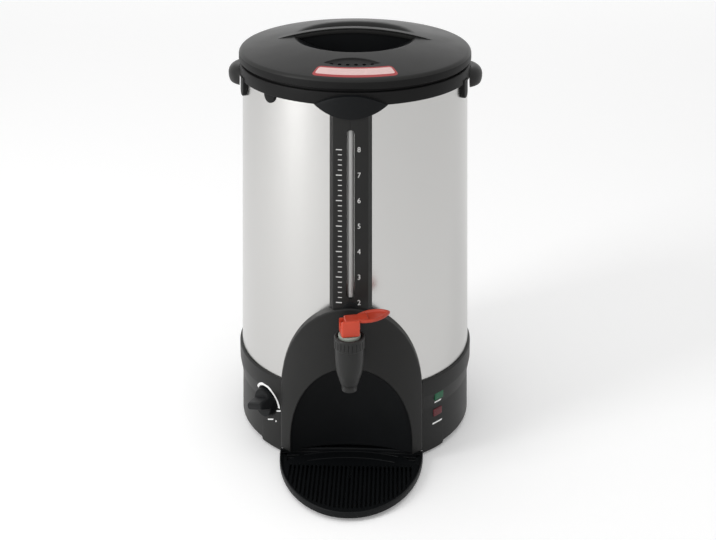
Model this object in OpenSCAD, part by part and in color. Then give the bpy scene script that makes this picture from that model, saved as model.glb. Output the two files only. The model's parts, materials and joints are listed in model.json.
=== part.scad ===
// Hot water urn with a round steel tank, a lift-off lid, a sight gauge, a lever tap and a drip tray.
// All sizes are in millimetres. The front faces -Y and the table is at z = 0.

/* [Tank] */
// Outside diameter of the steel wall
tank_d = 230; // [216:1:244]
// Thickness of the steel sheet
tank_t = 0.6; // [0.5:0.1:1]
// Height of steel that shows between the base and the collar
wall_show = 269; // [230:1:310]
// Height of the tank floor above the niche's crown
floor_lift = 10; // [8:0.5:15]

/* [Base] */
// Height of the base up to the top of its lip
base_h = 72.5; // [66:0.5:80]
// Depth of the groove in the lip that holds the steel wall
lip_depth = 12.5; // [8:0.5:16]
// How far the lip stands out from the steel wall
lip_out = 2.5; // [1.5:0.1:4]
// How far the skirt stands in from the steel wall
skirt_in = 0.7; // [0.2:0.1:2]
// Wall thickness of the skirt
skirt_t = 2.5; // [2:0.1:3.5]
// Height of the skirt's lower edge above the table
skirt_z = 4.6; // [4:0.1:6]
// How much lower the skirt reaches at its two front ends
front_drop = 2.6; // [1:0.1:3]
// Angle from the front at which the lower front ends stop
front_angle = 50; // [44:1:60]
// Height of the rubber feet
foot_h = 3.5; // [2.5:0.1:4]
// Radius of a rubber foot
foot_r = 8; // [5:0.5:10]
// Thickness of the base plate
plate_t = 2.5; // [2:0.1:3]

/* [Collar and handles] */
// Height of the collar's outer band
collar_h = 12.5; // [11:0.5:18]
// How far the collar stands out from the steel wall
collar_out = 3.2; // [2:0.1:5]
// Depth of the groove in the collar that holds the steel wall
collar_depth = 8.5; // [6:0.5:9.5]
// How far the mouth's edge stands in from the steel wall
mouth_in = 9; // [7:0.5:14]
// Height of the neck that the lid sits on
neck_h = 6; // [4.5:0.5:7]
// Radius of a handle's round outline
ear_r = 28; // [22:0.5:34]
// How far a handle stands out from the collar
ear_out = 12; // [9:0.5:16]
// Height of a handle's outer lip
ear_h = 18; // [15:0.5:22]
// Thickness of a handle's top
ear_t = 9; // [8:0.5:11]
// Thickness of a handle's outer lip
ear_lip = 4; // [2.5:0.5:5]
// Radius of a handle's rounded upper edge
ear_round = 9; // [4:0.5:9]
// Width of a tab below the collar
tab_w = 12; // [8:0.5:16]
// Length of a tab below the collar
tab_len = 14.5; // [10:0.5:20]

/* [Lid] */
// Wall thickness of the lid
lid_t = 2.5; // [2:0.1:3]
// Height of the dark gap between the collar and the lid
lid_gap = 4; // [3:0.5:4.5]
// How far the lid's rim stands out from the collar
lid_over = 0.8; // [0.2:0.1:2]
// Height of the lid's rim
rim_h = 9; // [8:0.5:12]
// Rise of the lid's dome above its rim
dome_h = 15; // [13:0.5:20]
// Radius of the lid's rounded shoulder
shoulder_r = 4.5; // [2.5:0.5:6]
// Radius of the round grip pocket
pocket_r = 62; // [52:1:68]
// Depth of the grip pocket
pocket_depth = 17.5; // [12:0.5:17.5]
// Width of the grip bar across the pocket
bar_w = 8; // [7:0.5:12]
// Height of the bar's crown above the dome
bar_rise = 4.5; // [3:0.1:5.5]
// Half length over which the bar's crown runs out on the dome
bar_reach = 79; // [72:1:84]
// Width of the narrow web under the bar
bar_waist = 4; // [3:0.5:5.5]
// Radius of a steam hole
vent_r = 1.5; // [1:0.1:2]
// Distance between steam holes
vent_pitch = 8.4; // [6:0.1:9]
// Number of steam holes
vent_count = 6; // [4:1:7]

/* [Gauge] */
// Width of the gauge panel at the wall
panel_w = 40; // [34:1:48]
// Width of the gauge panel's face
panel_face_w = 31; // [27:0.5:33]
// How far the panel's face stands out from the steel wall
panel_out = 8.5; // [8.2:0.1:10]
// Width of the slot that shows the sight tube
slot_w = 7.6; // [6.6:0.1:8.4]
// Outside diameter of the sight tube
tube_d = 6; // [5:0.1:6.2]
// Bore of the sight tube
tube_bore = 4; // [3:0.1:4.2]
// Height of the slot's lower end above the shroud's crown
slot_lift = 8; // [7.5:0.5:20]
// Distance of the slot's upper end below the collar
slot_drop = 21; // [19:1:40]
// Half width of the blank badge
badge_half = 35; // [28:1:42]
// Half height of the blank badge
badge_rise = 10.7; // [9:0.1:11.5]

/* [Tap shroud and niche] */
// Width of the shroud
shroud_w = 135; // [128:1:138]
// Height of the shroud's crown above the base
shroud_rise = 82.5; // [78:0.5:85]
// Height of the shroud's lower edge above the drip tray
shroud_lift = 1.6; // [0.5:0.1:4]
// How far the shroud's face stands out from the steel wall
shroud_out = 12; // [10:0.5:14]
// Radius of the shroud's rounded face
shroud_face_r = 95; // [88:1:105]
// Wall thickness of the shroud and the niche
shroud_t = 2.2; // [1.8:0.1:2.6]
// Width of the cup niche
niche_w = 115; // [105:1:118]
// Height of the niche's crown above the base
niche_rise = 26.5; // [20:0.5:27.5]
// Distance of the niche's back wall in from the steel wall
niche_in = 22; // [18:0.5:26]
// Radius of the niche's hollow back wall
niche_back_r = 144; // [130:1:180]

/* [Tap] */
// Distance of the tap's axis out from the steel wall
tap_out = 35; // [33:0.5:42]
// Height of the tap's inlet above the tank floor
tap_rise = 14; // [11:0.5:15]
// Radius of the tap's body
tap_r = 13.4; // [12.8:0.1:15]
// Height of the nozzle's mouth below the inlet
nozzle_drop = 31; // [28:0.5:36]
// Radius of the nozzle's mouth
nozzle_r = 7; // [6:0.1:8]
// Radius of the water way through the nozzle
water_r = 4.5; // [3.5:0.1:5]
// Radius of the inlet shank
shank_r = 6.5; // [6:0.1:6.8]
// Radius of the bonnet ring
bonnet_r = 14.2; // [13.8:0.1:16]
// Height of the bonnet ring
bonnet_h = 10.5; // [10:0.5:13]
// Number of grip grooves round the bonnet
knurls = 24; // [12:1:36]
// Radius of the valve stem
stem_r = 2.5; // [2:0.1:3]
// Lift of the valve stem when the lever is pressed
stem_lift = 3; // [2.5:0.1:3.4]
// Width of the handle block
block_w = 17; // [16:0.5:19]
// Height of the handle block
block_h = 14; // [13.5:0.5:16]
// Reach of the lever from the tap's axis
lever_reach = 38; // [34:0.5:46]
// Width of the lever's paddle
paddle_w = 20; // [16:0.5:24]
// Upward tilt of the paddle in degrees
paddle_tilt = 7; // [0:1:12]
// Turn of the lever from the right towards the back in degrees
lever_turn = 12; // [0:1:15]
// Radius of the lever's pin
pin_r = 1.5; // [1.2:0.1:1.8]

/* [Controls] */
// Angle of the knob to the left of the front
knob_angle = 46; // [44:1:52]
// Distance of the knob's axis below the top of the base
knob_drop = 29.2; // [26:0.1:34]
// Radius of the knob's disc
knob_r = 13.5; // [12:0.5:15]
// Height of the knob's grip above its disc
grip_h = 10; // [7:0.5:12]
// Radius of the knob's spindle
spindle_r = 3; // [2.5:0.1:3.2]
// Angle of the lamps to the right of the front
lamp_angle = 46; // [44:1:52]
// Width of a lamp window
lamp_w = 12; // [9:0.5:13]
// Height of a lamp window
lamp_h = 7; // [5:0.5:8]
// Distance of the upper lamp below the top of the base
lamp_drop = 20; // [18:0.5:24]
// Distance between the two lamps
lamp_pitch = 16.3; // [14:0.1:18]
// Radius of the cable hole through the gland
gland_bore = 3.75; // [3:0.05:4.5]
// Height of the gland above the table
gland_z = 30; // [24:1:31]

/* [Drip tray] */
// How far the tray stands out past each side of the shroud
tray_side = 0.5; // [0:0.1:1]
// Distance of the tray's front out from the steel wall
tray_out = 83; // [76:1:100]
// Length of the tray's rounded front
tray_round = 98; // [85:1:98]
// Height of the tray
tray_h = 8; // [7.5:0.1:8]
// Height of the rim that stands round the tray's pan
tray_rim = 5.3; // [5:0.1:5.5]
// How far the pan lies in under the rim
tray_step = 5; // [4:0.5:6]
// Thickness of the tray's floor and wall
tray_t = 1.8; // [1.5:0.1:2]
// Distance between the slots of the grate
grate_pitch = 4; // [3.5:0.1:6]
// Width of a slot in the grate
grate_slot = 2; // [1.2:0.1:2]

/* [Heater] */
// Radius of the heat plate under the tank floor
heat_r = 75; // [60:1:80]
// Thickness of the heat plate
heat_t = 4; // [3:0.5:5]
// Radius of the heating ring
ring_r = 58; // [48:1:60]
// Radius of the heating ring's tube
ring_tube_r = 4; // [3:0.1:4.5]

/* [Hidden] */
// Gaps: parts of one body fit with fit_gap, and moving parts keep run_gap
fit_gap = 0.05;
run_gap = 0.3;
over = 1;
$fn = 96;

// Colours of the materials
black = [0.08, 0.08, 0.085];
soft_black = [0.14, 0.14, 0.145];
steel = [0.80, 0.80, 0.80];
red = [0.80, 0.16, 0.10];
pale = [0.86, 0.82, 0.80];
brass = [0.75, 0.60, 0.32];

// Rings and levels of the shell
tank_r = tank_d / 2;
tank_in_r = tank_r - tank_t;
base_r = tank_r - skirt_in;
base_in_r = base_r - skirt_t;
lip_r = tank_r + lip_out;
collar_r = tank_r + collar_out;
mouth_r = tank_r - mouth_in;
lid_r = collar_r + lid_over;
wall_low = base_h - lip_depth;
collar_z = base_h + wall_show;
wall_top = collar_z + collar_depth;
collar_top = collar_z + collar_h;
neck_top = collar_top + neck_h;
neck_r = tank_r - 0.8;
neck_in_r = neck_r - 2.7;
plate_top = foot_h + plate_t;
tray_low = 0.4;
tray_top = tray_low + tray_h;
tongue_low = plate_top + run_gap;
tongue_h = 2;
seat_top = max(tray_top, tongue_low + tongue_h);
flare_z = wall_low - 17;
flare_top = wall_low - 3;
flare_r = lip_r - 0.3;
shroud_top = base_h + shroud_rise;
niche_top = base_h + niche_rise;
floor_z = niche_top + floor_lift;

// The urn's axis stands behind the origin, so that the origin is the middle of the footprint
gland_out = 6.7;
axis_y = (tray_out + tank_r - base_r - gland_out) / 2;

// Lid
lid_z = collar_top + lid_gap;
dome_edge = lid_z + rim_h;
apex_z = dome_edge + dome_h;
dome_r = (lid_r * lid_r + dome_h * dome_h) / (2 * dome_h);
dome_c = apex_z - dome_r;
pocket_edge = dome_c + sqrt(dome_r * dome_r - pocket_r * pocket_r);
pocket_floor = pocket_edge - pocket_depth;
bowl_r = (pocket_r * pocket_r + pocket_depth * pocket_depth) / (2 * pocket_depth);
seal_h = 2;
seal_low = neck_top + run_gap;
rib_low = seal_low + seal_h;
liner_t = 2;
liner_top = min(lid_z - 0.5, pocket_floor - lid_t - 0.5);
liner_low = liner_top - liner_t;
liner_r = mouth_r - 2;
liner_skirt = 3;
boss_r = 4;
boss_ring = (pocket_r + liner_r) / 2;
crown_z = apex_z + bar_rise;
crown_drop = crown_z - dome_c - sqrt(dome_r * dome_r - bar_reach * bar_reach);
crown_r = (bar_reach * bar_reach + crown_drop * crown_drop) / (2 * crown_drop);
crown_low = pocket_edge - lid_t + 0.4;
bar_depth = 5.3;
boss_angles = [45, 135, 225, 315];
screw_r = 1.5;
screw_head_r = 3;
screw_head_h = 1.8;
vent_ring = lid_r - 30.5;
vent_step = vent_pitch / vent_ring * 180 / PI;
recess_depth = 1.2;
recess_half = vent_count * vent_pitch / 2 + 2;
recess_rise = 9;
recess_ring = vent_ring - recess_rise / 2;
strip_t = 0.4;
strip_in = recess_ring + recess_rise + 2.5;
strip_out = lid_r - shoulder_r - 0.5;
strip_half = 21.6;
strip_turn = 2;

// Handles
ear_x = collar_r + ear_out - ear_r;
ear_top = wall_top;
ear_low = ear_top - ear_h;
ear_screw_z = wall_top - 3.8;
ear_screw_r = 2;
ear_screw_angle = 6;
ear_bite = ear_out / 2 - 1;
tab_angles = [70, 110, -70, -110];
tab_t = 4.3;
stop_angle = -43.5;
stop_r = 8;
stop_t = 2;

// Gauge
panel_r = tank_r + panel_out;
sleeve_r = tube_d / 2 + 0.75;
tube_y = -(tank_r + sleeve_r + 0.45);
slot_low = shroud_top + slot_lift;
slot_top = collar_z - slot_drop;
tube_low = slot_low - 2.5;
tube_top = slot_top + 6.5;
spigot_r = 2.8;
spigot_z = slot_low - 4.4;
elbow_foot = 0.5;
badge_front = tank_r + panel_out + 2;
badge_face_r = 60;

// Shroud and niche outlines
shroud_half = shroud_w / 2;
shroud_spring = base_h - 7.5;
shroud_low = seat_top + shroud_lift;
niche_half = niche_w / 2;
niche_spring = shroud_low + 10;
shroud_front = tank_r + shroud_out;
face_y = -(shroud_front - shroud_face_r);
niche_back = tank_r - niche_in;
niche_low = seat_top + run_gap;
gap_half = shroud_half + 0.2;
cut_margin = shroud_t + 0.4;
arch_steps = 36;

// Tap
tap_y = -(tank_r + tap_out);
tap_z = floor_z + tap_rise;
nozzle_z = tap_z - nozzle_drop;
body_top = tap_z + shank_r + 1.5;
seat_z = tap_z - 12.5;
chamber_r = 9.5;
neck_h_tap = 5;
bonnet_low = body_top + fit_gap;
bonnet_top = bonnet_low + bonnet_h;
bonnet_plate_low = body_top + neck_h_tap + fit_gap;
bonnet_recess = 3;
washer_top = bonnet_top + 1.8;
washer_low = bonnet_top - bonnet_recess;
block_low = washer_top + run_gap;
block_floor = 3.5;
cheek_t = 1.8;
channel_half = block_w / 2 - cheek_t;
lever_half = channel_half - run_gap;
pin_x = block_w / 2 - 2;
pin_z = block_low + block_floor + 4.2;
pin_in = 0.6;
cheek_low = pin_z + pin_r + 1.7;
head_low = pin_z + 0.8;
head_h = 2;
head_r = 4;
nose_top = head_low - 1.5 * run_gap;
lever_low = pin_z - 3.2;
pocket_top = nose_top + head_h + stem_lift;
lever_top = pocket_top + 1;
nose_x = -4.5;
paddle_t = 3;
cup_r = 7.5;
cup_low = seat_z + run_gap;
cup_h = 7.5;
flange_z = cup_low + cup_h + fit_gap;
flange_h = 1.2;
spring_low = flange_z + flange_h + 0.1;
spring_top = bonnet_plate_low - 0.1;
spring_r = 5;
wire_r = 0.6;
spring_turns = 7;

// Controls
bush_r = spindle_r + 1.5;
nut_t = 2;
knob_z = base_h - knob_drop;
dial_seat = base_r - 0.2;
knob_back = base_r + 0.6;
knob_front = knob_back + 6;
knob_pointer = -20;
spindle_out = knob_front + grip_h / 2;
lamp_proud = 1;
holder_d = 9;
term_w = 44;
term_d = 16;
term_h = 18;
term_in = 50;
term_pitch = 14;
term_r = 2.5;
lamp_z = [base_h - lamp_drop, base_h - lamp_drop - lamp_pitch];
function skirt_at(z) = base_r + (flare_r - base_r) * max(0, (z - flare_z) / (flare_top - flare_z));

// Drip tray
tray_half = shroud_half + tray_side;
tray_front = tank_r + tray_out;
tray_mid = tray_front - tray_round;
tray_back = niche_back + 1.6;
tray_back_r = niche_back_r - 1.6;
tray_bow_r = 600;
rim_low = tray_top - tray_rim;
ledge_top = rim_low + tray_t;
tongue_x = 40;
tongue_w = 12;
tongue_len = 20;
grate_in = tray_t + 0.6;
grate_half = niche_half - 9.5;
corner_y = sqrt(pow(tray_back_r - grate_in, 2) - pow(grate_half, 2)) - tray_back - tray_back_r;
corner_slope = 0.9;
grate_t = 1.5;
grate_low = ledge_top + run_gap;
rest_h = grate_low - run_gap - tray_low - tray_t;
rib_x = 42;
rib_front = 60;
rib_len = tray_out - 46;
slot_margin = tray_step + tray_t + 2.2;
slot_back = 28;
slot_side = 12;
slots_half = floor((tray_half - slot_side) / grate_pitch);

// Heater
plate_under = floor_z - 0.8;
heat_low = plate_under - heat_t;
ring_z = heat_low - ring_tube_r - fit_gap;

// Puts a part on the urn's axis
module at_axis() translate([0, axis_y, 0]) children();

// Turns a part made at the front to the right by an angle
module around(angle) rotate([0, 0, angle]) children();

// Upright ring
module ring(r_out, r_in, low, high) translate([0, 0, low]) difference() {
    cylinder(h = high - low, r = r_out);
    translate([0, 0, -over]) cylinder(h = high - low + 2 * over, r = r_in);
}

// Upright solid cylinder between two levels
module post(r, low, high) translate([0, 0, low]) cylinder(h = high - low, r = r);

// Rod at the front that lies along the radius
module radial(r_in, r_out, z, r, sides = 96) translate([0, -r_out, z]) rotate([-90, 0, 0])
    cylinder(h = r_out - r_in, r = r, $fn = sides);

// Outline in the XZ plane, drawn out along Y from y_near (the front) to y_far
module facing(y_near, y_far) translate([0, y_far, 0]) rotate([90, 0, 0])
    linear_extrude(y_far - y_near) children();

// Arch outline: straight sides from low to spring, then half an ellipse up to top
function arch(half, low, spring, top) = concat([[-half, low]],
    [for (i = [0 : arch_steps]) let (t = 180 * i / arch_steps)
        [-half * cos(t), spring + (top - spring) * sin(t)]],
    [[half, low]]);

// Outline with pointed ends, made of two arcs
module lens(half, rise) {
    r = (half * half + rise * rise) / (2 * rise);
    intersection() {
        translate([0, rise - r]) circle(r);
        translate([0, r - rise]) circle(r);
    }
}

// Slot outline with round ends
module pill(width, low, high) {
    translate([-width / 2, low + width / 2]) square([width, high - low - width]);
    translate([0, low + width / 2]) circle(width / 2);
    translate([0, high - width / 2]) circle(width / 2);
}

// Half profile of a domed lid with a rounded shoulder
module dome_profile(r, sphere_r, low, shoulder) {
    corner = [r - shoulder, dome_c + sqrt(pow(sphere_r - shoulder, 2) - pow(r - shoulder, 2))];
    lean = atan2(corner[0], corner[1] - dome_c);
    far = 3 * shoulder;
    difference() {
        intersection() {
            translate([0, dome_c]) circle(sphere_r, $fn = 360);
            translate([0, low]) square([r, apex_z - low + over]);
        }
        difference() {
            polygon([corner, corner + far * [sin(lean), cos(lean)], corner + [far, far], corner + [far, 0]]);
            translate(corner) circle(shoulder);
        }
    }
}

// Space above a sphere that lies a little below the dome's face
module above_dome(depth) difference() {
    translate([-lid_r, -lid_r, lid_z]) cube([2 * lid_r, 2 * lid_r, apex_z - lid_z + over]);
    translate([0, 0, dome_c]) sphere(dome_r - depth, $fn = 200);
}

module strip_area(gap) difference() {
    ring(strip_out + gap, strip_in - gap, lid_z, apex_z);
    for (side = [-1, 1]) around(strip_turn + side * (strip_half + gap / 2))
        translate([side > 0 ? 0 : -lid_r, -lid_r, lid_z - over]) cube([lid_r, 2 * lid_r, apex_z]);
    translate([-lid_r, 0, lid_z - over]) cube([2 * lid_r, lid_r, apex_z]);
}

module at_vents() for (i = [0 : vent_count - 1]) around((i - (vent_count - 1) / 2) * vent_step)
    translate([0, -vent_ring, 0]) children();

module at_bosses() for (a = boss_angles) around(a)
    translate([0, -boss_ring, 0]) children();

module crown_post(r) translate([0, 0, crown_z - crown_r]) rotate([90, 0, 0])
    cylinder(h = bar_w + 2 * over, r = r, center = true, $fn = 400);

// Arched grip bar across the pocket, with the narrow web under it
module bar_form() intersection() {
    union() {
        translate([-pocket_r - 2, -bar_waist / 2, pocket_floor - 1])
            cube([2 * pocket_r + 4, bar_waist, crown_z - pocket_floor + 1]);
        difference() {
            translate([-bar_reach, -bar_w / 2, crown_low]) cube([2 * bar_reach, bar_w, crown_z - crown_low]);
            crown_post(crown_r - bar_depth);
        }
    }
    crown_post(crown_r);
}

module lid_shell() color(black) at_axis() difference() {
    union() {
        rotate_extrude() difference() {
            dome_profile(lid_r, dome_r, lid_z, shoulder_r);
            translate([0, pocket_floor + bowl_r]) circle(bowl_r, $fn = 200);
            difference() {
                dome_profile(lid_r - lid_t, dome_r - lid_t, lid_z - over, shoulder_r / 2);
                translate([0, pocket_floor + bowl_r]) circle(bowl_r + lid_t, $fn = 200);
            }
        }
        intersection() {
            union() {
                ring(neck_r, neck_in_r, rib_low, apex_z);
                at_bosses() post(boss_r, liner_top, apex_z);
            }
            rotate_extrude() dome_profile(lid_r - 1, dome_r, liner_top - over, shoulder_r);
        }
        bar_form();
    }
    at_bosses() post(screw_r + fit_gap, liner_top - over, liner_top + 8);
    intersection() {
        translate([0, -recess_ring, lid_z]) linear_extrude(apex_z - lid_z + over)
            lens(recess_half, recess_rise);
        above_dome(recess_depth);
    }
    intersection() {
        strip_area(fit_gap);
        above_dome(strip_t);
    }
    at_vents() post(vent_r, lid_z, apex_z);
}

module lid_strip() color(pale) at_axis() difference() {
    intersection() {
        strip_area(0);
        translate([0, 0, dome_c]) sphere(dome_r, $fn = 200);
    }
    translate([0, 0, dome_c]) sphere(dome_r - strip_t + 0.02, $fn = 200);
}

module lid_liner() color(soft_black) at_axis() difference() {
    union() {
        post(liner_r, liner_low, liner_top);
        ring(liner_r, liner_r - liner_t, liner_low - liner_skirt, liner_low + liner_t / 2);
    }
    at_bosses() post(screw_r + fit_gap, liner_low - over, liner_top + over);
    at_vents() post(2 * vent_r, liner_low - over, liner_top + over);
}

module lid_seal() color([0.75, 0.75, 0.73]) at_axis() ring(neck_r - 0.2, neck_in_r + 0.2, seal_low, rib_low);

module lid_screws() color(steel) at_axis() at_bosses() {
    post(screw_head_r, liner_low - screw_head_h, liner_low);
    post(screw_r, liner_low - screw_head_h / 2, liner_top + 7);
}

// Holes or rods of the screws that hold the handles
module ear_rods(r_in, r_out, r) for (side = [-1, 1]) for (a = [-1, 1])
    around(side * 90 + a * ear_screw_angle) radial(r_in, r_out, ear_screw_z, r);

module collar() color(black) at_axis() difference() {
    union() {
        ring(collar_r, tank_r + fit_gap, collar_z, wall_top + over);
        ring(collar_r, mouth_r, wall_top, collar_top);
        ring(neck_r, neck_in_r, collar_top - over, neck_top);
        for (a = tab_angles) intersection() {
            around(a) facing(-tank_r - tab_t, 0) pill(tab_w, collar_z - tab_len, collar_z + tab_w);
            ring(tank_r + tab_t, tank_r + fit_gap, collar_z - tab_len, collar_z + collar_depth);
        }
        intersection() {
            around(stop_angle) facing(-tank_r - stop_t, 0)
                pill(2 * stop_r, collar_z - stop_r, collar_z + 2 * stop_r);
            ring(tank_r + stop_t, tank_r + fit_gap, collar_z - stop_r, collar_z + 2);
        }
    }
    ear_rods(tank_in_r - over, collar_r + over, ear_screw_r + fit_gap);
}

// Half profile of a handle: a top plate with a rounded edge and a lip that hangs down
module ear_profile() difference() {
    union() {
        translate([0, ear_h - ear_t]) square([ear_r, ear_t]);
        translate([ear_r - ear_lip, ear_lip / 2]) square([ear_lip, ear_h - ear_lip / 2]);
        translate([ear_r - ear_lip / 2, ear_lip / 2]) circle(ear_lip / 2);
    }
    difference() {
        translate([ear_r - ear_round, ear_h - ear_round]) square(ear_round + over);
        translate([ear_r - ear_round, ear_h - ear_round]) circle(ear_round);
    }
}

module ear() difference() {
    translate([ear_x, 0, ear_low]) rotate_extrude() ear_profile();
    post(collar_r + fit_gap, ear_low - over, ear_top + over);
    ear_rods(tank_in_r, collar_r + ear_bite + 1, ear_screw_r + fit_gap);
}

module handle_right() color(black) at_axis() ear();

module handle_left() color(black) at_axis() mirror([1, 0, 0]) ear();

module handle_screws() color(steel) at_axis() {
    ear_rods(tank_in_r - 2, collar_r + ear_bite, ear_screw_r);
    ear_rods(tank_in_r - 2.6, tank_in_r - 0.5, 3.4);
}

module tank_wall() color(steel) at_axis() difference() {
    ring(tank_r, tank_in_r, wall_low, wall_top);
    facing(-tank_r - over, 0)
        polygon(arch(niche_half + cut_margin, 0, niche_spring, niche_top + cut_margin));
    radial(tank_in_r - 10, tank_r + over, tap_z, shank_r + 0.2);
    radial(tank_in_r - 10, tank_r + over, spigot_z, spigot_r + 0.2);
    ear_rods(tank_in_r - over, tank_r + over, ear_screw_r + fit_gap);
}

module tank_floor() color(steel) at_axis() {
    post(tank_in_r - fit_gap, plate_under, floor_z);
    ring(tank_in_r - fit_gap, tank_in_r - 0.8, floor_z - 5, floor_z);
}

// Plan of the gauge panel: bevelled sides and a face that follows the wall
module panel_plan(gap) intersection() {
    circle(panel_r + gap, $fn = 200);
    polygon([[-panel_w / 2 - gap, -tank_r + 12], [panel_w / 2 + gap, -tank_r + 12],
        [panel_w / 2 + gap, -tank_r - 0.5], [panel_face_w / 2 + gap, -panel_r - 1],
        [-panel_face_w / 2 - gap, -panel_r - 1], [-panel_w / 2 - gap, -tank_r - 0.5]]);
}

module gauge_panel() color(black) at_axis() difference() {
    translate([0, 0, slot_low - 25]) linear_extrude(collar_z - fit_gap - slot_low + 25) panel_plan(0);
    post(tank_r + fit_gap, 0, collar_top);
    facing(-panel_r - 5, -tank_r + 20) pill(slot_w, slot_low, slot_top);
    translate([0, tube_y, 0]) post(sleeve_r + fit_gap, 0, tube_top + fit_gap);
    radial(tank_r - over, -tube_y, spigot_z, spigot_r + fit_gap);
    facing(-panel_r - 5, -tank_r + 30)
        polygon(arch(shroud_half + fit_gap, 0, shroud_spring, shroud_top + fit_gap));
}

module badge_plate() color(soft_black) at_axis() difference() {
    intersection() {
        facing(-badge_front - 5, -tank_r / 2) translate([0, collar_z]) lens(badge_half, badge_rise);
        translate([0, badge_face_r - badge_front, 0])
            post(badge_face_r, collar_z - badge_rise, collar_z + badge_rise);
    }
    post(tank_r + fit_gap, 0, collar_top + over);
    post(collar_r + fit_gap, collar_z - fit_gap, collar_top + over);
    linear_extrude(collar_z) panel_plan(fit_gap);
}

module sight_tube() color([0.75, 0.78, 0.80]) at_axis() translate([0, tube_y, 0])
    ring(tube_d / 2, tube_bore / 2, tube_low, tube_top);

module tube_seal() color(pale) at_axis() translate([0, tube_y, 0])
    ring(sleeve_r, tube_d / 2 + fit_gap, slot_top, tube_top);

module gauge_elbow() color(soft_black) at_axis() difference() {
    union() {
        translate([0, tube_y, 0]) post(sleeve_r, spigot_z - spigot_r - elbow_foot, slot_low + 1);
        radial(tank_in_r - 9, -tube_y, spigot_z, spigot_r);
    }
    translate([0, tube_y, 0]) post(tube_d / 2 + fit_gap, tube_low, slot_low + 2);
    translate([0, tube_y, 0]) post(tube_bore / 2, spigot_z, slot_low);
    radial(tank_in_r - 10, 1 - tube_y, spigot_z, spigot_r - 1.2);
}

module gauge_washer() color(pale) at_axis() difference() {
    radial(tank_in_r - 1.8, tank_in_r - 0.3, spigot_z, 5.5);
    radial(tank_in_r - 3, tank_in_r + over, spigot_z, spigot_r + fit_gap);
}

module gauge_nut() color(soft_black) at_axis() difference() {
    radial(tank_in_r - 6, tank_in_r - 1.8, spigot_z, 6.5, 6);
    radial(tank_in_r - 7, tank_in_r + over, spigot_z, spigot_r + fit_gap);
}

// Solid in the form of the shroud, drawn in by a margin
module shroud_form(margin) intersection() {
    translate([0, face_y, 0]) post(shroud_face_r - margin, 0, shroud_top);
    facing(-shroud_front - over, 0)
        polygon(arch(shroud_half - margin, shroud_low + margin, shroud_spring, shroud_top - margin));
}

// Space of the cup niche, grown by a margin
module niche_form(margin) intersection() {
    facing(-shroud_front - 20, 0) polygon(arch(niche_half + margin, 0, niche_spring, niche_top + margin));
    translate([0, -niche_back - niche_back_r, 0])
        post(niche_back_r + margin, 0, niche_top + 2 * margin + over);
}

module tap_shroud() color(black) at_axis() difference() {
    shroud_form(0);
    shroud_form(shroud_t);
    niche_form(0);
    intersection() {
        niche_form(shroud_t + fit_gap);
        translate([0, face_y, 0]) post(shroud_face_r - shroud_t, 0, shroud_top);
    }
    post(tank_r + fit_gap, wall_low - 0.3, shroud_top + over);
    translate([-shroud_half - over, -niche_back, 0]) cube([shroud_w + 2 * over, tank_r, shroud_top]);
    radial(0, shroud_front + over, tap_z, shank_r + 0.2);
}

module niche_liner() color(soft_black) at_axis() difference() {
    intersection() {
        niche_form(shroud_t);
        translate([0, face_y, 0])
            post(shroud_face_r - shroud_t - fit_gap, niche_low, niche_top + 2 * shroud_t);
    }
    niche_form(0);
}

// Half profile of the tap's body, from the nozzle up to the bonnet
module tap_profile() polygon([[0, nozzle_z], [nozzle_r, nozzle_z], [nozzle_r + 0.4, nozzle_z + 5.5],
    [nozzle_r + 1.6, nozzle_z + 6.3], [tap_r - 3.6, nozzle_z + 11], [tap_r - 1.9, nozzle_z + 16],
    [tap_r - 0.8, nozzle_z + 22], [tap_r - 0.2, nozzle_z + 29], [tap_r, body_top - 2], [tap_r, body_top],
    [0, body_top]]);

module at_tap() translate([0, tap_y, 0]) children();

module tap_body() color(black) at_axis() difference() {
    union() {
        at_tap() rotate_extrude() tap_profile();
        at_tap() post(chamber_r + 1.5, tap_z, body_top + neck_h_tap);
        radial(tank_in_r - 18, -tap_y, tap_z, shank_r);
        radial(shroud_front + 2.1, -tap_y - bonnet_r - 0.4, tap_z, shank_r + 3.5);
    }
    at_tap() post(chamber_r, seat_z, body_top + neck_h_tap + over);
    at_tap() post(water_r, nozzle_z - over, seat_z + over);
    radial(tank_in_r - 19, -tap_y, tap_z, shank_r - 2.5);
}

module tap_bonnet() color(soft_black) at_axis() at_tap() difference() {
    rotate_extrude() polygon([[0, bonnet_low], [bonnet_r - 0.6, bonnet_low], [bonnet_r, bonnet_low + 0.6],
        [bonnet_r, bonnet_top - 1], [bonnet_r - 1, bonnet_top], [0, bonnet_top]]);
    post(chamber_r + 1.5 + fit_gap, bonnet_low - over, bonnet_plate_low);
    post(stem_r + 0.06, bonnet_low, bonnet_top + over);
    post(bonnet_r - 3, bonnet_top - bonnet_recess, bonnet_top + over);
    for (i = [0 : knurls - 1]) rotate([0, 0, i * 360 / knurls]) translate([bonnet_r + 0.3, 0, 0])
        post(0.9, bonnet_low + 1.5, bonnet_top - 2);
}

module tap_washer() color(pale) at_axis() at_tap() ring(bonnet_r - 4, stem_r + 0.3, washer_low, washer_top);

module tap_gasket() color([0.3, 0.3, 0.3]) at_axis() difference() {
    radial(shroud_front + 0.1, shroud_front + 2.1, tap_z, shank_r + 3.5);
    radial(shroud_front - 1, shroud_front + 3, tap_z, shank_r + fit_gap);
}

module tap_seal() color(pale) at_axis() difference() {
    radial(tank_in_r - 3.4, tank_in_r - 0.6, tap_z, shank_r + 3.4);
    radial(tank_in_r - 4, tank_in_r + over, tap_z, shank_r + fit_gap);
}

module tap_nut() color(soft_black) at_axis() difference() {
    radial(tank_in_r - 9, tank_in_r - 3.4, tap_z, shank_r + 4, 6);
    radial(tank_in_r - 10, tank_in_r + over, tap_z, shank_r + fit_gap);
}

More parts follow.
